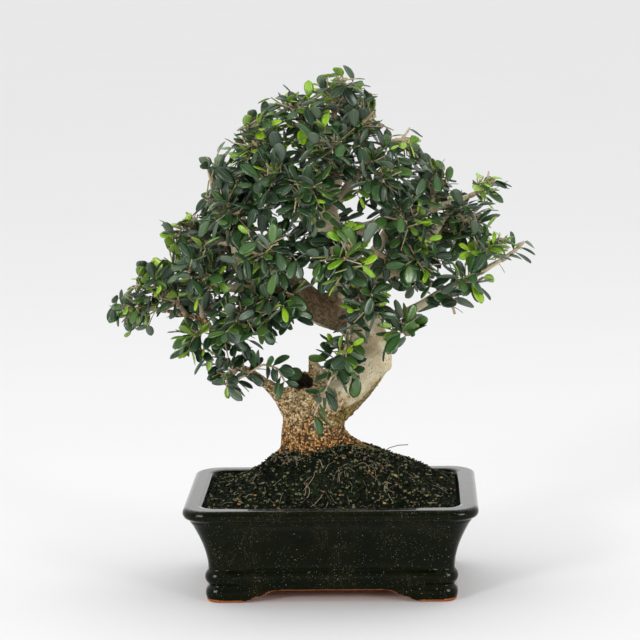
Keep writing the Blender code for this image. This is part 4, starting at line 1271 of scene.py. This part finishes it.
# %% The bark's colours
def bark_finish():
    bark = Finish("bark", Metallic=0.0, Specular_IOR_Level=0.15)
    cork, moss, brown, rot = (bark.attribute(n) for n in ("cork", "moss", "brown", "rot"))
    fine, rough_grain, patches = (bark.noise(*n) for n in ((0.8, 3.0, 0.7), (2.6, 5.0, 0.7), (15.0, 4.0, 0.6)))
    near, chance = bark.cells(1.7), bark.cells(1.7, output=1)
    # Dark in the gaps between the grains: partly the bark's own darker cracks, partly painted shade
    dark_crevices_and_shade = near.between(0.38, 0.74)
    tone = bark.node("ShaderNodeSeparateXYZ", inputs={0: chance}, output="X") * 0.75 + rough_grain * 0.45 - 0.1
    cream = bark.ramp(patches * 0.5 + rough_grain * 0.3 + fine * 0.25,
                      [(0.32, 0.3, 0.21, 0.11), (0.45, 0.56, 0.45, 0.27), (0.57, 0.745, 0.66, 0.455),
                       (0.78, 0.84, 0.79, 0.65)])
    pores = (1.0 - bark.cells(3.3).between(0.1, 0.24)) * patches.between(0.38, 0.52)
    dots = (1.0 - bark.cells(1.9).between(0.1, 0.26)) * rough_grain.between(0.45, 0.6)
    cream = bark.mix(pores.larger(dots * 0.6), cream, (0.13, 0.07, 0.032))
    beige = bark.ramp(tone, [(0.1, 0.07, 0.034, 0.012), (0.32, 0.32, 0.18, 0.064),
                             (0.54, 0.6, 0.42, 0.195), (0.85, 0.84, 0.71, 0.44)])
    orange = bark.ramp(tone, [(0.14, 0.012, 0.006, 0.003), (0.34, 0.11, 0.042, 0.01),
                              (0.54, 0.37, 0.15, 0.026), (0.7, 0.62, 0.3, 0.06), (0.94, 0.74, 0.51, 0.21)])
    low = 1.0 - (bark.height() + patches * 46.0).between(144.0, 186.0)
    corky = bark.over(beige, (low, orange), (dark_crevices_and_shade * (0.55 + low * 0.4), (0.022, 0.012, 0.006)))
    # Mossy tones, laid both as moss and as painted shade under the knee
    moss_and_shade_tone = bark.ramp(tone, [(0.1, 0.03, 0.02, 0.008), (0.4, 0.14, 0.088, 0.024), (0.65, 0.3, 0.205, 0.05),
                             (0.9, 0.42, 0.36, 0.12)])
    nutty = bark.ramp(tone, [(0.1, 0.032, 0.016, 0.008), (0.45, 0.125, 0.066, 0.03), (0.9, 0.3, 0.19, 0.1)])
    rotten = bark.ramp(rough_grain, [(0.3, 0.008, 0.006, 0.005), (0.55, 0.045, 0.032, 0.022),
                                     (0.75, 0.19, 0.145, 0.1)])
    colour = bark.over(
        cream, ((cork + rough_grain * 0.7 - 0.35).between(0.3, 0.7), corky),
        ((brown + rough_grain * 0.7 - 0.35).between(0.3, 0.8) * 0.85, nutty),
        ((moss + rough_grain * 0.9 - 0.45).between(0.3, 0.75) * 0.9, moss_and_shade_tone),
        ((rot + rough_grain * 0.5 - 0.25).between(0.25, 0.6) * 0.95, rotten))
    bump = fine * 0.4 + rough_grain * 0.8 - near * cork.larger(moss).larger(brown) * 1.1
    return bark.end(colour, 0.74 + fine * 0.18, bump, 0.5)


trunk = make_trunk()
print("trunk faces", len(trunk.data.polygons))

# %% [markdown]
# ## Soil
# The soil is a dark mound that meets the pot's wall a few millimetres under the lip. It is made as
# rings that change from the pot's own outline to an oval at the top. Noise breaks up the surface, and
# loose crumbs of every size lie on it, because a bare noisy sheet reads as cloth. Pale root threads and
# a few orange and green bits of litter are what gives the real one its scale.

# %% Soil surface
SOIL_AT_WALL, MOUND_HEIGHT, MOUND_HALF, MOUND_BEND = 79.5, 46.0, (100.0, 76.0), (2.8, 2.2)
SOIL_INSET = 14.35 + GAP + 2.3
WALLS = [(29.35, POT_FLOOR + 0.6), (28.35, 44.0), (22.35, 64.0)]
# Heaps and one dip: how high, where, and how wide and deep
HEAPS = ((8.0, -44, -22, 15, 15), (3.5, -8, -40, 20, 20), (-2.5, 38, 12, 20, 20), (8.0, 78, 20, 27, 32),
         (6.0, 112, 35, 22, 35))


def soil_rise(x, y):
    """How far the heaps and the noise lift the soil at a place."""
    p = Vector((x, y, 0.0))
    heaped = sum(high * math.exp(-(((x - cx) / wide) ** 2) - ((y - cy) / deep) ** 2)
                 for high, cx, cy, wide, deep in HEAPS)
    return heaped + 1.8 * noise.fractal(p / 17.0, 0.8, 2.1, 4) + 1.8 * noise.fractal(p / 3.6, 0.7, 2.2, 3)


def soil_rings():
    rings = [pot_outline(*spot) for spot in WALLS] + [pot_outline(SOIL_INSET, SOIL_AT_WALL)]
    edge = rings[-1]
    for share in np.linspace(0.985, 0.015, 74):
        height = SOIL_AT_WALL + MOUND_HEIGHT * (1 - share ** MOUND_BEND[0]) ** MOUND_BEND[1]
        blend = min(1.0, 2.4 * (1 - share))
        ring = []
        for x, y, _ in edge:
            far = math.hypot(x, y)
            ox, oy = x / far * MOUND_HALF[0], y / far * MOUND_HALF[1]
            px, py = ((x + (ox - x) * blend) * share, (y + (oy - y) * blend) * share)
            ring.append((px, py, height + soil_rise(px, py) * min(1.0, 0.3 + 12 * (1 - share))))
        rings.append(ring)
    return rings


def soil_finish():
    soil = Finish("soil", Metallic=0.0, Specular_IOR_Level=0.04)
    grain, fine, patches = (soil.noise(*n) for n in ((2.2, 5.0, 0.7), (0.6, 3.0, 0.7), (24.0, 3.0)))
    shade = soil.attribute("shade")
    colour = soil.ramp(grain * 0.45 + patches * 0.14 + shade * 0.5,
                       [(0.32, 0.0012, 0.002, 0.001), (0.5, 0.0048, 0.007, 0.0034),
                        (0.62, 0.042, 0.056, 0.026), (0.74, 0.21, 0.225, 0.12)])
    flecks = soil.cells(4.4).between(0.04, 0.1)
    colour = soil.mix((1.0 - flecks) * patches.between(0.45, 0.6) * 0.6, colour, (0.19, 0.125, 0.05))
    return soil.end(colour, 0.8 + fine * 0.18, grain + fine * 0.6, 0.9)


SOIL = soil_finish()
SOIL_SKIN = soil_rings()
bm = bmesh.new()
shade_layer = bm.verts.layers.float.new("shade")
for ring in drawn_out(bm, SOIL_SKIN):
    for v in ring:
        v[shade_layer] = 0.4
finished("soil_mound", bm, [SOIL], ["soil"])


# %% Crumbs, roots and litter
BATCH, THREADS = 120, 430
ROOT_WIRE = [(38, -6, 108), (43, -6, 115), (49, -6, 120), (57, -6, 122), (66, -6, 122)]


def soil_spot(draw):
    """A chance place on the mound, with its height."""
    return Vector(draw.choice(draw.choice(SOIL_SKIN[4:62])))


def crumb_shape(draw):
    bm = bmesh.new()
    bmesh.ops.create_icosphere(bm, subdivisions=1, radius=1.0)
    for v in bm.verts:
        v.co *= draw.uniform(0.62, 1.2)
    return as_mesh("crumb", bm)


def crumb_batch(draw, shapes, number, sizes, squash):
    """Some crumbs in a mesh of their own. Many small meshes are quicker to fill than one large one."""
    bm = bmesh.new()
    layer = bm.verts.layers.float.new("shade")
    for _ in range(number):
        spot = soil_spot(draw)
        size = sizes[0] + (sizes[1] - sizes[0]) * draw.random() ** 3
        fresh = added(bm, draw.choice(shapes))
        turn = Matrix.Rotation(draw.uniform(0, 6.28), 4, (draw.random(), draw.random(), draw.random()))
        grow = Matrix.Diagonal((size * MM, size * MM * draw.uniform(0.6, 1.2), size * MM * squash, 1))
        place = Matrix.Translation(at(spot.x, spot.y, spot.z + size * 0.25))
        bmesh.ops.transform(bm, matrix=place @ grow @ turn, verts=fresh)
        tone = draw.random()
        for v in fresh:
            v[layer] = tone
    return as_mesh("batch", bm)


def scatter(name, number, sizes, finish, seed, squash=0.75):
    draw = random.Random(seed)
    shapes = [crumb_shape(draw) for _ in range(6)]
    bm = bmesh.new()
    for _ in range(number // BATCH):
        bm.from_mesh(crumb_batch(draw, shapes, BATCH, sizes, squash))
    return finished(name, bm, [finish], crease=60)


def litter_finish(name, stops):
    bit = Finish(name, Metallic=0.0)
    colour = bit.ramp(bit.attribute("shade") * 0.8 + bit.noise(0.8) * 0.3, stops)
    return bit.end(colour, 0.7 + bit.noise(1.5) * 0.2, bit.noise(0.7), 0.2)


ORANGE = litter_finish(
    "orange_litter", [(0.2, 0.16, 0.045, 0.01), (0.6, 0.42, 0.16, 0.03), (1.0, 0.55, 0.36, 0.1)])
GREEN = litter_finish(
    "green_litter", [(0.2, 0.04, 0.08, 0.012), (0.7, 0.22, 0.3, 0.03), (1.0, 0.5, 0.5, 0.1)])
ROOTS = litter_finish(
    "root_threads", [(0.15, 0.045, 0.03, 0.018), (0.5, 0.2, 0.14, 0.08), (1.0, 0.46, 0.37, 0.24)])
scatter("soil_crumbs", 8880, (0.3, 1.8), SOIL, 3)
scatter("orange_bits", 480, (0.3, 1.9), ORANGE, 5, 0.5)
scatter("green_bits", 600, (0.3, 1.3), GREEN, 7, 0.5)


def root_threads():
    """Thin roots that wander over the mound, dip in and come out again, and one long dark one."""
    draw = random.Random(29)
    tree = BVHTree.FromObject(bpy.data.objects["soil_mound"], bpy.context.evaluated_depsgraph_get())
    bm = bmesh.new()
    layer = bm.verts.layers.float.new("shade")
    threads = [([Vector(p) for p in ROOT_WIRE], 0.38, 0.05)]
    for _ in range(THREADS):
        spot, heading, points = soil_spot(draw), draw.uniform(0, 6.28), []
        steps, bend, lift = draw.randrange(4, 10), draw.uniform(-0.5, 0.5), draw.uniform(0.2, 2.2)
        for step in range(steps):
            hit = tree.ray_cast(at(spot.x, spot.y, 150), (0, 0, -1))[0]
            if hit is None or abs(spot.x) > POT_HALF_LENGTH - 22 or abs(spot.y) > POT_HALF_DEPTH - 22:
                break
            arch = math.sin(math.pi * step / (steps - 1))
            points.append(Vector((spot.x, spot.y, hit.z / MM - 0.3 + lift * arch)))
            heading += bend + draw.uniform(-0.45, 0.45)
            spot = spot + Vector((math.cos(heading), math.sin(heading), 0)) * draw.uniform(1.2, 2.6)
        if len(points) > 3:
            threads.append((points, draw.uniform(0.1, 0.26), draw.random() ** 0.7))
    for points, radius, tone in threads:
        for ring_made in sweep(bm, smoothed(points), [radius] * len(points), 5):
            for v in ring_made:
                v[layer] = tone
    return finished("root_threads", bm, [ROOTS])


root_threads()
print("soil laid")


# %% [markdown]
# ## Drain screens
# Two squares of black plastic mesh lie over the drain holes, under the soil. Nobody sees them in the
# finished pot, but they are what keeps the soil in, so they stay as the solids have them, and only get
# the dull black of moulded plastic.

# %% Drain screens
def screen_finish():
    mesh = Finish("moulded_mesh", Metallic=0.0)
    grain = mesh.noise(1.5)
    return mesh.end(mesh.mix(grain, (0.012, 0.012, 0.013), (0.03, 0.03, 0.031)), 0.45 + grain * 0.2, grain, 0.05)


SCREEN = screen_finish()
for hand in ("left", "right"):
    screen = bpy.data.objects[f"drain_screen_{hand}"]
    for place in screen.material_slots:
        place.material = SCREEN
print("screens finished")

# %% [markdown]
# ## Light and floor
# Two soft boxes stand low in front, one on each side, so that they light the tree without bleaching the
# floor. Two larger ones beside them only show as a sheen, because the real glaze mirrors wide windows
# that would wash out the bark. The room is bright behind and dimmer in front, which makes a dark glaze
# look dark and still gives the rim its pale sheen.

# %% Light and floor
DIM_IN_FRONT, BRIGHT_BEHIND = 0.38, 1.27
# Name, place in metres, power, size, and whether it only shows as a sheen
LIGHTS = (("key", (-1.7, -2.3, 1.15), 30.0, 0.6, False), ("fill", (1.9, -2.1, 0.95), 18.0, 0.55, False),
          ("top", (0.1, 0.3, 2.4), 3.0, 1.0, False), ("left_sheen", (-1.5, -1.9, 0.8), 75.0, 1.3, True),
          ("right_sheen", (1.6, -1.8, 0.75), 62.0, 1.2, True))


def soft_light(name, place, energy, size, sheen_only):
    """An area light. One that is for sheen only is mirrored in the glaze but lights nothing."""
    data = bpy.data.lights.new(name, "AREA")
    data.energy, data.size = energy, size
    light = linked(name, data)
    light.location, light.visible_diffuse = place, not sheen_only
    light.rotation_euler = (Vector((0, 0, 0.2)) - Vector(place)).to_track_quat("-Z", "Y").to_euler()


def set_stage():
    world = bpy.context.scene.world or bpy.data.worlds.new("world")
    bpy.context.scene.world = world
    world.use_nodes = True
    backdrop = world.node_tree.nodes["Background"]
    nodes, links = world.node_tree.nodes, world.node_tree.links
    facing, parts = nodes.new("ShaderNodeTexCoord"), nodes.new("ShaderNodeSeparateXYZ")
    spread = nodes.new("ShaderNodeMapRange")
    spread.interpolation_type = "SMOOTHSTEP"
    for socket, value in ((1, -0.85), (2, 0.35), (3, DIM_IN_FRONT), (4, BRIGHT_BEHIND)):
        spread.inputs[socket].default_value = value
    links.new(facing.outputs["Generated"], parts.inputs[0])
    links.new(parts.outputs["Y"], spread.inputs[0])
    links.new(spread.outputs[0], backdrop.inputs["Strength"])
    backdrop.inputs["Color"].default_value = (1.0, 1.0, 1.0, 1.0)
    bpy.context.scene.view_settings.view_transform = "Standard"
    bm = bmesh.new()
    bmesh.ops.create_grid(bm, x_segments=1, y_segments=1, size=30.0)
    floor = as_object("floor", bm)
    paper = Finish("paper", Roughness=0.9, Metallic=0.0, Specular_IOR_Level=0.0)
    tint = paper.mix(paper.noise(400.0), (0.83, 0.83, 0.832), (0.85, 0.85, 0.852))
    floor.data.materials.append(paper.end(tint))
    for light in LIGHTS:
        soft_light(*light)


set_stage()
print("lights set")
